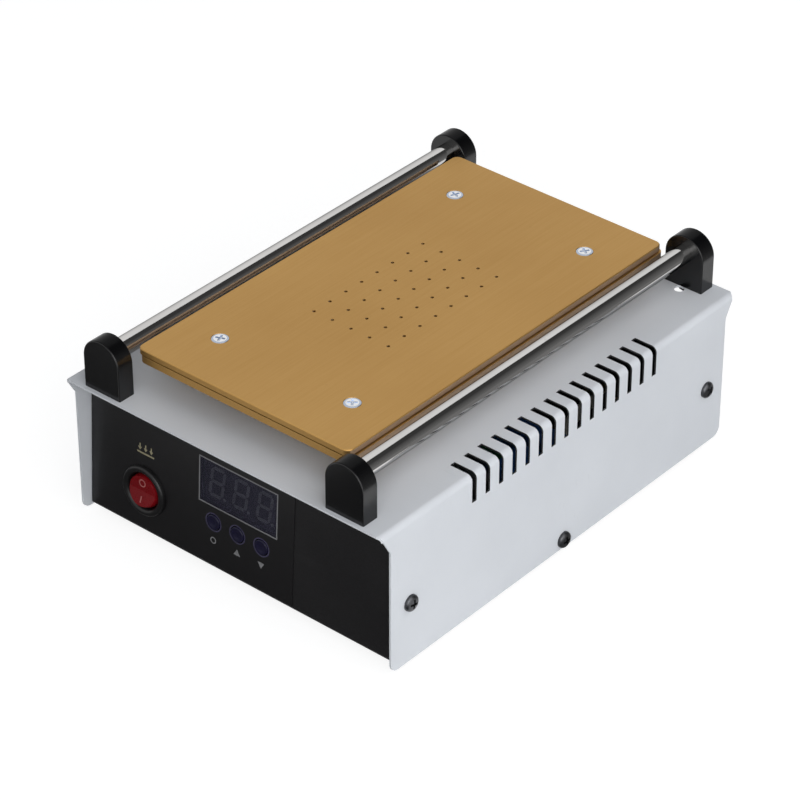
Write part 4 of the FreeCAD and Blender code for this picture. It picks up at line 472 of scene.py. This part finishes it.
def softbox(name, azimuth, elevation, distance, size, power):
    """Square lamp that faces the object. Azimuth is from the front towards the right."""
    data = bpy.data.lights.new(name, "AREA")
    data.size = size
    data.energy = power
    lamp = bpy.data.objects.new(name, data)
    az, el = math.radians(azimuth), math.radians(elevation)
    away = Vector((math.cos(el) * math.sin(az), -math.cos(el) * math.cos(az), math.sin(el)))
    turn = away.to_track_quat("Z", "Y").to_matrix().to_4x4()
    lamp.matrix_world = Matrix.Translation(away * distance) @ turn
    bpy.context.scene.collection.objects.link(lamp)


def seen_as_background(tree):
    """1 where the camera looks, straight or by way of a mirror or glass."""
    path = add(tree, "ShaderNodeLightPath").outputs
    mirrored = maths(tree, "MAXIMUM", path["Is Glossy Ray"], path["Is Transmission Ray"])
    return maths(tree, "MAXIMUM", path["Is Camera Ray"], mirrored)


def make_world():
    """White backdrop, and a cool fill that gets stronger towards the right."""
    world = bpy.data.worlds.new("studio")
    bpy.context.scene.world = world
    world.use_nodes = True
    tree = world.node_tree
    tree.nodes.clear()
    direction = add(tree, "ShaderNodeTexCoord").outputs["Generated"]
    rightwards = add(tree, "ShaderNodeSeparateXYZ", {0: direction}).outputs["X"]
    left_fill, right_fill = 0.28, 0.88
    level = fitted(tree, rightwards, 0.0, 1.0, left_fill, right_fill)
    fill = add(tree, "ShaderNodeBackground", {"Color": (0.94, 0.97, 1, 1), "Strength": level})
    white = add(tree, "ShaderNodeBackground", {"Color": (1, 1, 1, 1), "Strength": 1.0})
    feeds = {0: seen_as_background(tree), 1: fill.outputs[0], 2: white.outputs[0]}
    both = add(tree, "ShaderNodeMixShader", feeds)
    add(tree, "ShaderNodeOutputWorld", {"Surface": both.outputs[0]})


def make_floor():
    """Pale floor that shows white and keeps a soft shadow."""
    bm = bmesh.new()
    bmesh.ops.create_grid(bm, x_segments=1, y_segments=1, size=4.0)
    mesh = mesh_of(bm, "floor")
    floor = bpy.data.objects.new("floor", mesh)
    bpy.context.scene.collection.objects.link(floor)
    material = bpy.data.materials.new("pale floor")
    material.use_nodes = True
    tree = material.node_tree
    tree.nodes.clear()
    paint = add(tree, "ShaderNodeBsdfDiffuse", {"Color": (0.62, 0.62, 0.62, 1)})
    shadowed = add(tree, "ShaderNodeBsdfDiffuse", {"Color": (0.3, 0.3, 0.3, 1)})
    glow = add(tree, "ShaderNodeEmission", {"Color": (1, 1, 1, 1), "Strength": 0.84})
    shown = add(tree, "ShaderNodeAddShader", {0: shadowed.outputs[0], 1: glow.outputs[0]})
    feeds = {0: seen_as_background(tree), 1: paint.outputs[0], 2: shown.outputs[0]}
    both = add(tree, "ShaderNodeMixShader", feeds)
    add(tree, "ShaderNodeOutputMaterial", {"Surface": both.outputs[0]})
    mesh.materials.append(material)


def make_cloth(name, corners, low_shade, high_shade):
    """Grey cloth that only mirrors see, with its shade at the floor and at 1.5 m and above."""
    bm = bmesh.new()
    bm.faces.new([bm.verts.new(corner) for corner in corners])
    hung = bpy.data.objects.new(name, mesh_of(bm, name))
    bpy.context.scene.collection.objects.link(hung)
    material = bpy.data.materials.new(name)
    material.use_nodes = True
    tree = material.node_tree
    tree.nodes.clear()
    place = add(tree, "ShaderNodeTexCoord").outputs["Object"]
    height = add(tree, "ShaderNodeSeparateXYZ", {0: place}).outputs["Z"]
    level = fitted(tree, height, 0.0, 1.5, low_shade, high_shade)
    weave = add(tree, "ShaderNodeEmission", {"Color": (1, 1, 1, 1), "Strength": level})
    add(tree, "ShaderNodeOutputMaterial", {"Surface": weave.outputs[0]})
    hung.data.materials.append(material)
    hung.visible_camera = False
    hung.visible_diffuse = False
    hung.visible_transmission = False
    hung.visible_shadow = False


# Cloths over the floor, in metres: left and right edge, near edge at each, far edge at each, and shade
FLOOR_CLOTHS = {
    "panel_cloth": ((-0.25, 0.16), (-0.19, -0.19), (-0.10, -0.10), 0.075),
    "right_post_cloth": ((-0.035, 0.16), (-0.36, -0.36), (-0.19, -0.19), 0.02),
    "left_post_cloth": ((-0.22, -0.115), (-0.30, -0.30), (-0.19, -0.19), 0.16),
    "far_rod_cloth": ((0.18, 3.0), (0.03, 0.2), (1.5, 1.5), 0.22),
    "near_rod_cloth": ((0.077, 0.18), (-0.04, 0.015), (0.158, 0.187), 0.3),
}


def make_cloths():
    """Cloths just above the floor, and one that stands behind the object on the right."""
    for name, ((left, right), near, far, shade) in FLOOR_CLOTHS.items():
        corners = [(left, near[0], MM), (right, near[1], MM), (right, far[1], MM), (left, far[0], MM)]
        make_cloth(name, corners, shade, shade)
    outwards = Vector((0.755, 0.656, 0))
    along = Vector((-0.656, 0.755, 0))
    distance, begin, end, top = 1.6, -0.5, 2.1, 3.8
    corners = [outwards * distance + along * side + Vector((0, 0, height))
               for side, height in ((begin, 0.0), (end, 0.0), (end, top), (begin, top))]
    make_cloth("back_cloth", corners, 0.18, 0.05)


make_camera()
make_world()
make_floor()
make_cloths()
softbox("key", 80, 24, 1.0, 1.1, 3.0)
softbox("top", 80, 60, 1.2, 0.7, 1.7)
softbox("front", 38, 28, 1.2, 0.7, 4.8)
bpy.context.scene.view_settings.view_transform = "Standard"


# Case, plates and rods

# Faces painted another colour that stands in for light: the axis they look along, or None, then how far they
# reach each side of the middle in X and in Y, and their lowest and highest place, in mm
# Painted shade: near-black on the cut faces inside the cover's slots, where the slots lie in shade
SLOT_PAINTED_SHADE = (("Y", 100, 60, 56, 70), ("X", 76, 60, 56, 70), ("Z", 100, 60, 56, 60))
# Painted reflection: paler, greyer gold on the plates' left and right faces, for the chrome rods mirrored
# beside them
PLATE_SIDE_REFLECTION = ("X", 100, 100, 80, 90)
# Painted shade: darker blue-grey zinc between 84 and 88.6 mm, on the plate screws' cross recesses and the
# rims round their heads
SCREW_RECESS_SHADE = (None, 100, 100, 84, 88.6)


def paint_light_on_faces(material, colour, *facings):
    """Painted shade and painted reflections: another colour on the faces that the facings give."""
    tree = material.node_tree
    base = tree.nodes["Principled BSDF"].inputs["Base Color"]
    painted = base.links[0].from_socket
    lies = add(tree, "ShaderNodeTexCoord")
    place = add(tree, "ShaderNodeSeparateXYZ", {0: lies.outputs["Object"]}).outputs
    normal = add(tree, "ShaderNodeSeparateXYZ", {0: lies.outputs["Normal"]}).outputs
    amount = 0.0
    for axis, half_wide, half_long, low, high in facings:
        tests = [
            maths(tree, "GREATER_THAN", maths(tree, "ABSOLUTE", normal[axis]), 0.85) if axis else 1.0,
            maths(tree, "LESS_THAN", maths(tree, "ABSOLUTE", place["X"]), half_wide * MM),
            maths(tree, "LESS_THAN", maths(tree, "ABSOLUTE", place["Y"]), half_long * MM),
            maths(tree, "GREATER_THAN", place["Z"], low * MM),
            maths(tree, "LESS_THAN", place["Z"], high * MM),
        ]
        inside = tests[0]
        for test in tests[1:]:
            inside = maths(tree, "MULTIPLY", inside, test)
        amount = maths(tree, "MAXIMUM", amount, inside)
    tree.links.new(mixed(tree, amount, painted, (*colour, 1)), base)


def dull_tops(material):
    """Less shine on faces that look up."""
    top_shine = 0.06
    tree = material.node_tree
    normal = add(tree, "ShaderNodeTexCoord").outputs["Normal"]
    upwards = add(tree, "ShaderNodeSeparateXYZ", {0: normal}).outputs["Z"]
    shine = tree.nodes["Principled BSDF"].inputs["Specular IOR Level"]
    tree.links.new(fitted(tree, upwards, 0.3, 0.8, shine.default_value, top_shine), shine)


def make_case():
    """Folded sheets, plates and feet with eased edges, and the painted shade and painted reflection that
    differ from face to face.
    """
    # Painted shade in the slots and the screw recesses, and a painted reflection on the plates' sides
    paint_light_on_faces(FINISHES["powder_white"], (0.03, 0.03, 0.03), *SLOT_PAINTED_SHADE)
    paint_light_on_faces(FINISHES["anodised_gold"], (0.60, 0.43, 0.29), PLATE_SIDE_REFLECTION)
    paint_light_on_faces(FINISHES["zinc"], (0.42, 0.47, 0.56), SCREW_RECESS_SHADE)
    dull_tops(FINISHES["post_black"])
    for sheet in ("cover", "base_chassis"):
        eased_copy(sheet, 0.22 * MM)
    for plate in ("top_plate", "lower_plate"):
        eased_copy(plate, 0.12 * MM)
    eased_copy("feet", 0.35 * MM, 3)


def make_rods():
    """Polished rods with turned ends inside their posts."""
    nose = 0.5 * MM
    lying = Matrix.Rotation(math.pi / 2, 4, "X")
    for name in ("rod_left", "rod_right"):
        low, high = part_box(name)
        radius = (high.z - low.z) / 2
        half = (high.y - low.y) / 2
        profile = rounded([(0, -half), (radius, -half, nose), (radius, half, nose), (0, half)])
        place = Matrix.Translation((low + high) / 2) @ lying
        mesh = mesh_of(turned(profile, 96), name + "_shape", place)
        piece(name + "_look", mesh, "case", "chrome", stands_for=[name])


# Screws, grown by one tree on points that carry their turns

def screw_tree():
    """Screws with a domed head and a cross recess, one on each point of the mesh."""
    tree = bpy.data.node_groups.new("cross screws", "GeometryNodeTree")
    given, out = sockets(
        tree,
        {
            "Places": ("Geometry", None), "Head Width": ("Float", 0.007), "Head Height": ("Float", 0.002),
            "Fullness": ("Float", 0.5), "Sink": ("Float", 0.0), "Cross Length": ("Float", 0.004),
            "Cross Width": ("Float", 0.0009), "Cross Depth": ("Float", 0.0012),
            "Thread Width": ("Float", 0.0035), "Thread Length": ("Float", 0.009),
            "Finish": ("Material", None),
        },
        {"Screws": "Geometry"},
    )
    ball = add(tree, "GeometryNodeMeshUVSphere", {"Segments": 40, "Rings": 20, "Radius": 1.0}).outputs["Mesh"]
    place = add(tree, "GeometryNodeInputPosition").outputs[0]
    axes = add(tree, "ShaderNodeSeparateXYZ", {0: place}).outputs
    radius = maths(tree, "MULTIPLY", given["Head Width"], 0.5)
    rise = maths(tree, "POWER", maths(tree, "MAXIMUM", axes["Z"], 0.0), given["Fullness"])
    dome = maths(tree, "MULTIPLY", rise, given["Head Height"])
    underside = maths(tree, "MULTIPLY", maths(tree, "MINIMUM", axes["Z"], 0.0), given["Sink"])
    shaped = add(tree, "ShaderNodeCombineXYZ", {
        "X": maths(tree, "MULTIPLY", axes["X"], radius),
        "Y": maths(tree, "MULTIPLY", axes["Y"], radius),
        "Z": maths(tree, "ADD", dome, underside),
    }).outputs[0]
    head = add(tree, "GeometryNodeSetPosition", {"Geometry": ball, "Position": shaped}).outputs[0]
    head = add(tree, "GeometryNodeMergeByDistance", {"Geometry": head, "Distance": 1e-6}).outputs[0]
    depth = maths(tree, "MULTIPLY", given["Cross Depth"], 2.0)
    top = add(tree, "ShaderNodeCombineXYZ", {"Z": given["Head Height"]}).outputs[0]
    cutters = []
    long, wide = given["Cross Length"], given["Cross Width"]
    for across, up in ((long, wide), (wide, long)):
        size = add(tree, "ShaderNodeCombineXYZ", {"X": across, "Y": up, "Z": depth}).outputs[0]
        slot = add(tree, "GeometryNodeMeshCube", {"Size": size}).outputs["Mesh"]
        cutters.append(shifted(tree, slot, top))
    pit = add(tree, "GeometryNodeMeshCone", {
        "Vertices": 12, "Radius Top": maths(tree, "MULTIPLY", given["Cross Width"], 0.9),
        "Radius Bottom": maths(tree, "MULTIPLY", given["Cross Width"], 0.4), "Depth": depth,
    }).outputs["Mesh"]
    pit_height = maths(tree, "SUBTRACT", given["Head Height"], depth)
    low = add(tree, "ShaderNodeCombineXYZ", {"Z": pit_height}).outputs[0]
    cutters.append(shifted(tree, pit, low))
    sunk = add(tree, "GeometryNodeMeshBoolean", {0: head}, operation="DIFFERENCE", solver="EXACT")
    for cutter in cutters:
        tree.links.new(cutter, sunk.inputs[1])
    past_head = maths(tree, "SUBTRACT", given["Cross Depth"], given["Head Height"])
    below = maths(tree, "MAXIMUM", past_head, 0.0)
    shank = add(tree, "GeometryNodeMeshCylinder", {
        "Vertices": 24, "Radius": maths(tree, "MULTIPLY", given["Thread Width"], 0.5),
        "Depth": maths(tree, "SUBTRACT", given["Thread Length"], below),
    }).outputs["Mesh"]
    middle = maths(tree, "MULTIPLY", maths(tree, "ADD", given["Thread Length"], below), -0.5)
    under = add(tree, "ShaderNodeCombineXYZ", {"Z": middle}).outputs[0]
    whole = add(tree, "GeometryNodeJoinGeometry", {0: sunk.outputs["Mesh"]})
    tree.links.new(shifted(tree, shank, under), whole.inputs[0])
    real = set_on_places(tree, given["Places"], whole.outputs[0])
    final = add(tree, "GeometryNodeSetMaterial", {"Geometry": real, "Material": given["Finish"]}).outputs[0]
    tree.links.new(final, out["Screws"])
    return tree


def grown(tree, places, sizes):
    """Plain mesh that a tree grows on places, each a point and an Euler turn."""
    mesh = bpy.data.meshes.new("places")
    mesh.from_pydata([tuple(point) for point, _ in places], [], [])
    turns = mesh.attributes.new("turn", "FLOAT_VECTOR", "POINT")
    turns.data.foreach_set("vector", [angle for _, turn in places for angle in turn])
    carrier = bpy.data.objects.new("places", mesh)
    bpy.context.scene.collection.objects.link(carrier)
    growth = carrier.modifiers.new("Growth", "NODES")
    growth.node_group = tree
    for socket in tree.interface.items_tree:
        if socket.in_out == "INPUT" and socket.name in sizes:
            growth[socket.identifier] = sizes[socket.name]
    seen = carrier.evaluated_get(bpy.context.evaluated_depsgraph_get())
    result = bpy.data.meshes.new_from_object(seen)
    bpy.data.objects.remove(carrier)
    return result


def facing(direction, spin):
    """Euler turn that points Z in a direction, after a spin about it."""
    turn = Vector(direction).to_track_quat("Z", "Y").to_matrix() @ Matrix.Rotation(math.radians(spin), 3, "Z")
    return turn.to_euler()


# Turns of the crosses in degrees, three screws in each side wall and then four in the plates
SPINS = (12, 64, 31, 80, 5, 47, 22, 70, 38, 55)


def make_screws():
    """Round-headed screws of the cover and countersunk ones of the plates."""
    tree = screw_tree()
    spins = iter(SPINS)
    low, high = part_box("cover_screws")
    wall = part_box("cover")[1].x
    rim = 3.5 * MM
    places = []
    for side in (-1, 1):
        for y, z in ((low.y + rim, high.z - rim), (0.0, low.z + rim), (high.y - rim, high.z - rim)):
            places.append(((side * wall, y, z), facing((side, 0, 0), next(spins))))
    shape = grown(tree, places, {
        "Head Width": 2 * rim, "Head Height": high.x - wall, "Fullness": 0.55, "Cross Length": 4.0 * MM,
        "Cross Width": 0.95 * MM, "Cross Depth": 1.3 * MM, "Thread Width": 3.5 * MM,
        "Thread Length": 9.0 * MM, "Finish": FINISHES["black_steel"],
    })
    piece("cover_screws_look", shape, "case", "black_steel", stands_for=["cover_screws"])
    rim_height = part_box("top_plate")[1].z - 0.35 * MM
    x, y = PLATE_SCREWS
    places = [((across, along, rim_height), facing((0, 0, 1), next(spins)))
              for across in (-x, x) for along in (-y, y)]
    shape = grown(tree, places, {
        "Head Width": 7.0 * MM, "Head Height": 0.55 * MM, "Fullness": 0.5, "Sink": 2.0 * MM,
        "Cross Length": 4.0 * MM, "Cross Width": 1.05 * MM, "Cross Depth": 0.5 * MM,
        "Thread Width": 4.0 * MM, "Thread Length": 27.6 * MM, "Finish": FINISHES["zinc"],
    })
    piece("plate_screws_look", shape, "case", "zinc", stands_for=["plate_screws"])


# Display and keys

def segment_tree():
    """Bars with pointed ends, one on each point, leaning over as a digit leans."""
    tree = bpy.data.node_groups.new("digit segments", "GeometryNodeTree")
    given, out = sockets(
        tree,
        {
            "Places": ("Geometry", None), "Bar Length": ("Float", 0.006), "Bar Width": ("Float", 0.0013),
            "Bar Height": ("Float", 0.0001), "Slant": ("Float", 0.14), "Finish": ("Material", None),
        },
        {"Bars": "Geometry"},
    )
    hexagon = add(tree, "GeometryNodeMeshCircle", {"Vertices": 6, "Radius": 1.0}, fill_type="NGON").outputs[0]
    corner = add(tree, "GeometryNodeInputPosition").outputs[0]
    axes = add(tree, "ShaderNodeSeparateXYZ", {0: corner}).outputs
    half_width = maths(tree, "MULTIPLY", given["Bar Width"], 0.5)
    half_length = maths(tree, "MULTIPLY", given["Bar Length"], 0.5)
    side = maths(tree, "MULTIPLY", maths(tree, "DIVIDE", axes["Y"], math.sqrt(0.75)), half_width)
    reach = maths(tree, "SUBTRACT", half_length, maths(tree, "ABSOLUTE", side))
    along = maths(tree, "MULTIPLY", maths(tree, "SIGN", axes["X"]), reach)
    outline = add(tree, "ShaderNodeCombineXYZ", {"X": along, "Y": side}).outputs[0]
    flat = add(tree, "GeometryNodeSetPosition", {"Geometry": hexagon, "Position": outline}).outputs[0]
    lift = add(tree, "ShaderNodeCombineXYZ", {"Z": given["Bar Height"]}).outputs[0]
    feeds = {"Mesh": flat, "Offset": lift, "Individual": False}
    tall = add(tree, "GeometryNodeExtrudeMesh", feeds).outputs["Mesh"]
    under = add(tree, "GeometryNodeFlipFaces", {0: flat}).outputs[0]
    both = add(tree, "GeometryNodeJoinGeometry", {0: tall})
    tree.links.new(under, both.inputs[0])
    bar = add(tree, "GeometryNodeMergeByDistance", {"Geometry": both.outputs[0], "Distance": 1e-6}).outputs[0]
    real = set_on_places(tree, given["Places"], bar)
    sideways = maths(tree, "MULTIPLY", axes["Y"], given["Slant"])
    leaning = shifted(tree, real, add(tree, "ShaderNodeCombineXYZ", {"X": sideways}).outputs[0])
    feeds = {"Geometry": leaning, "Material": given["Finish"]}
    final = add(tree, "GeometryNodeSetMaterial", feeds).outputs[0]
    tree.links.new(final, out["Bars"])
    return tree


def make_display():
    """Three unlit digits on their block, behind the smoked window with its printed outline."""
    wide, high, deep = MODULE_SIZE
    place = on_panel(FRONT, *WINDOW, MODULE_FACE)
    shoulder, sunk = 0.3 * MM, 0.12 * MM
    block = raised(rounded([(*point, 0.5 * MM) for point in oblong(wide, high)]), -deep, -shoulder)
    outer, inner, trough = ((wide - less * MM, high - less * MM) for less in (0.4, 1.6, 1.7))
    rim = raised(oblong(*outer), -shoulder, 0, oblong(*inner))
    floor = raised(oblong(*trough), -shoulder, -sunk)
    mesh = mesh_of(joined(block, rim, floor), "display_block", place)
    piece("display_block", mesh, "case", "display_black", stands_for=["display_module"])

    bar, pitch = 6.2 * MM, 12.2 * MM
    digits = [digit * pitch for digit in (-1, 0, 1)]
    places = []
    for middle in digits:
        places += [((middle, row * bar, 0), (0, 0, 0)) for row in (-1, 0, 1)]
        places += [((middle + across * bar, up * bar, 0), (0, 0, math.pi / 2))
                   for across in (-0.5, 0.5) for up in (-0.5, 0.5)]
    bars = grown(segment_tree(), places, {
        "Bar Length": bar - 0.35 * MM, "Bar Width": 1.5 * MM, "Bar Height": 0.1 * MM,
        "Slant": math.tan(math.radians(8)), "Finish": SEGMENT,
    })
    bars.transform(place @ Matrix.Translation((0, 0, -sunk)))
    piece("digit_segments", bars, "case", "display_black", SEGMENT)
    dot_radius, dot_across, dot_top = 0.75 * MM, 3.9 * MM, 0.02 * MM
    dots = [raised(circle(dot_radius, 20, (middle + dot_across, -bar)), -sunk, -dot_top) for middle in digits]
    piece("digit_dots", mesh_of(joined(*dots), "digit_dots", place), "case", "display_black", SEGMENT)

    eased_copy("display_window", 0.25 * MM)
    line = 0.55 * MM
    wide, high = WINDOW_SIZE
    outer, inner = (oblong(wide + grow, high + grow) for grow in (line, -line))
    outline = raised(outer, -INK, INK, inner)
    mesh = mesh_of(outline, "window_outline", on_panel(FRONT, *WINDOW, FILM_FACE))
    piece("window_outline", mesh, "case", "film_black", SILVER_INK)


def printed(outer, inner=()):
    """Ink on the front film, with an outline in the panel's plane."""
    return raised(outer, FILM_FACE - INK, FILM_FACE + INK, inner)


def printed_ring(outer, inner, centre, count=40):
    return printed(circle(outer, count, centre), circle(inner, count, centre))


def make_keys():
    """Push buttons with a shallow dish, and the printed ring round each."""
    stem, flange, cap = 1.5 * MM, 4.5 * MM, 3.3 * MM
    foot, under, over = -6.47 * MM, -2.3 * MM, -1.3 * MM
    profile = rounded([
        (0, foot), (stem, foot, 0.2 * MM), (stem, under), (flange, under, 0.15 * MM),
        (flange, over, 0.15 * MM), (cap, over), (cap, 0.8 * MM, 0.5 * MM), (2.3 * MM, 0.78 * MM, 0.5 * MM),
        (1.2 * MM, 0.56 * MM, 0.4 * MM), (0, 0.5 * MM),
    ])
    outer, inner = 4.15 * MM, 3.65 * MM
    rings = []
    for name, across in KEY_PLACES.items():
        mesh = mesh_of(turned(profile, 64), name + "_shape", on_panel(FRONT, across, KEY_HEIGHT))
        piece(name + "_look", mesh, NODES[name]["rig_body"], "key_blue", stands_for=[name], sharp=40)
        rings.append(printed_ring(outer, inner, (across, KEY_HEIGHT), 64))
    piece("key_rings", mesh_of(joined(*rings), "key_rings", FRONT), "case", "film_black", KEY_INK)


def make_film():
    """Front film and the plain pictograms that stand by the keys and the pump switch."""
    eased_copy("front_overlay", 0.08 * MM)
    set_place, up_place, down_place = ((across, SIGN_HEIGHT) for across in KEY_PLACES.values())
    half_wide, base, tip = 1.7 * MM, 1.3 * MM, 1.5 * MM
    signs = [
        printed_ring(1.5 * MM, 1.0 * MM, set_place),
        printed(triangle(half_wide, -base, tip, up_place)),
        printed(triangle(half_wide, base, -tip, down_place)),
    ]
    piece("key_signs", mesh_of(joined(*signs), "key_signs", FRONT), "case", "film_black", SILVER_INK)
    x, y = PUMP_SWITCH[0], PUMP_SIGN_HEIGHT
    arrows = [printed(oblong(9.0 * MM, 0.7 * MM, (x, y - 1.9 * MM)))]
    for step in (-3.0 * MM, 0.0, 3.0 * MM):
        arrows.append(printed(oblong(0.6 * MM, 1.6 * MM, (x + step, y + 1.3 * MM))))
        arrows.append(printed(triangle(0.95 * MM, 0.5 * MM, -1.0 * MM, (x + step, y))))
    piece("suction_sign", mesh_of(joined(*arrows), "suction_sign", FRONT), "case", "film_black", CREAM_INK)


# Switches

def draped_mark(name, shape, node, panel, body):
    """Thin printed mark that follows the face of a rocker."""
    clear_of_panel, over_face, thickness = 30 * MM, 0.03 * MM, 0.05 * MM
    target = NODES[node].data
    corners = [vertex.co.copy() for vertex in target.vertices]
    tree = BVHTree.FromPolygons(corners, [tuple(face.vertices) for face in target.polygons])
    outward = (panel.to_3x3() @ Vector((0, 0, 1))).normalized()
    shape.transform(panel)
    for vertex in shape.verts:
        hit = tree.ray_cast(vertex.co + outward * clear_of_panel, -outward)[0]
        if hit is not None:
            vertex.co = hit + outward * over_face
    item = piece(name, mesh_of(shape, name), body, "rocker_red", MARK_INK)
    thick = item.modifiers.new("Ink", "SOLIDIFY")
    thick.thickness = thickness
    thick.offset = 0.0


def flat_ring(outer, inner, centre):
    """Open ring of small faces."""
    count, rows = 48, 3
    bm = bmesh.new()
    loops = []
    for row in range(rows + 1):
        radius = inner + (outer - inner) * row / rows
        loops.append([bm.verts.new((*point, 0)) for point in circle(radius, count, centre)])
    for first, second in zip(loops, loops[1:]):
        for index in range(count):
            after = (index + 1) % count
            bm.faces.new((first[index], second[index], second[after], first[after]))
    return bm


def flat_bar(wide, high, centre):
    """Open oblong of small faces."""
    bm = bmesh.new()
    bmesh.ops.create_grid(bm, x_segments=3, y_segments=14, size=0.5)
    bm.transform(Matrix.Translation((*centre, 0)) @ Matrix.Diagonal((wide, high, 1, 1)))
    return bm


def mark_rocker(name, panel, middle, ring, bar):
    """O over I on a rocker: radii of the ring, sides of the bar, and how far up each stands."""
    x, y = middle
    outer, inner, ring_up = ring
    wide, high, bar_up = bar
    marks = {"off": flat_ring(outer, inner, (x, y + ring_up)), "on": flat_bar(wide, high, (x, y + bar_up))}
    for state, shape in marks.items():
        draped_mark(f"{name}_rocker_{state}_mark", shape, name + "_switch_rocker", panel, name + "_rocker")


def make_pump_switch():
    """Round bezel with a soft crown, and the rocker's marks."""
    barrel, opening = 9.3 * MM, 7.72 * MM
    low, floor, crown = -16.0 * MM, -7.2 * MM, FILM_FACE + 2.2 * MM
    profile = rounded([
        (0, low), (barrel, low, 0.6 * MM), (barrel, FILM_FACE), (10.9 * MM, FILM_FACE, 0.15 * MM),
        (10.8 * MM, crown - 0.35 * MM, 0.9 * MM), (9.5 * MM, crown, 0.7 * MM),
        (8.3 * MM, crown - 0.45 * MM, 0.5 * MM), (opening, crown - 1.6 * MM, 0.3 * MM),
        (opening, floor, 0.2 * MM), (0, floor),
    ])
    mesh = mesh_of(turned(profile, 96), "pump_switch_bezel", on_panel(FRONT, *PUMP_SWITCH))
    piece("pump_switch_bezel", mesh, "case", "switch_black", stands_for=["pump_switch_body"], sharp=50)
    ring = (1.75 * MM, 1.25 * MM, 3.9 * MM)
    bar = (0.55 * MM, 2.6 * MM, -3.1 * MM)
    mark_rocker("pump", FRONT, PUMP_SWITCH, ring, bar)


def make_mains_side():
    """Rear switch with its marks, inlet and fuse drawer."""
    for node in ("mains_switch_body", "mains_inlet", "fuse_drawer"):
        eased_copy(node, 0.3 * MM)
    eased_copy("inlet_pins", 0.35 * MM)
    ring = (1.5 * MM, 1.05 * MM, 4.1 * MM)
    bar = (0.5 * MM, 2.8 * MM, -4.1 * MM)
    mark_rocker("mains", REAR, MAINS_SWITCH, ring, bar)


# Leads inside the case: diameter, and the route's points in mm from the exit to the terminal

LEAD_ROUTES = {
    "heater_lead": (6.0 * MM, [
        (-14.0, 63.0, 79.2), (-14.0, 78.0, 79.2), (-14.0, 78.0, 35.6), (22.0, 57.0, 19.6), (22.0, 37.0, 19.6),
    ]),
    "signal_lead": (5.0 * MM, [
        (-1.2, -80.63, 24.38), (-1.2, -65.1, 23.39), (22.5, -46.0, 27.6), (22.5, -46.0, 13.6),
    ]),
}


def make_leads():
    """Sleeved leads, each one smooth curve from its exit to its terminal."""
    for name, (wide, route) in LEAD_ROUTES.items():
        points = [Vector(point) * MM for point in route]
        data = bpy.data.curves.new(name + "_curve", "CURVE")
        data.dimensions = "3D"
        data.resolution_u = 24
        data.bevel_depth = wide / 2
        data.bevel_resolution = 6
        data.use_fill_caps = True
        line = data.splines.new("NURBS")
        line.points.add(len(points) - 1)
        for spot, point in zip(line.points, points):
            spot.co = (*point, 1)
        line.order_u = 3
        line.use_endpoint_u = True
        data.materials.append(FINISHES["lead_sleeve"])
        lead = bpy.data.objects.new(name + "_sleeve", data)
        bpy.context.scene.collection.objects.link(lead)
        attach(lead, "case")
        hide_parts(name)


make_leads()
make_case()
make_rods()
make_screws()
make_display()
make_keys()
make_film()
make_pump_switch()
make_mains_side()

# The plain solids take the finish of their slot
for item in NODES.values():
    item.data.materials[0] = FINISHES[item.data.materials[0].name]
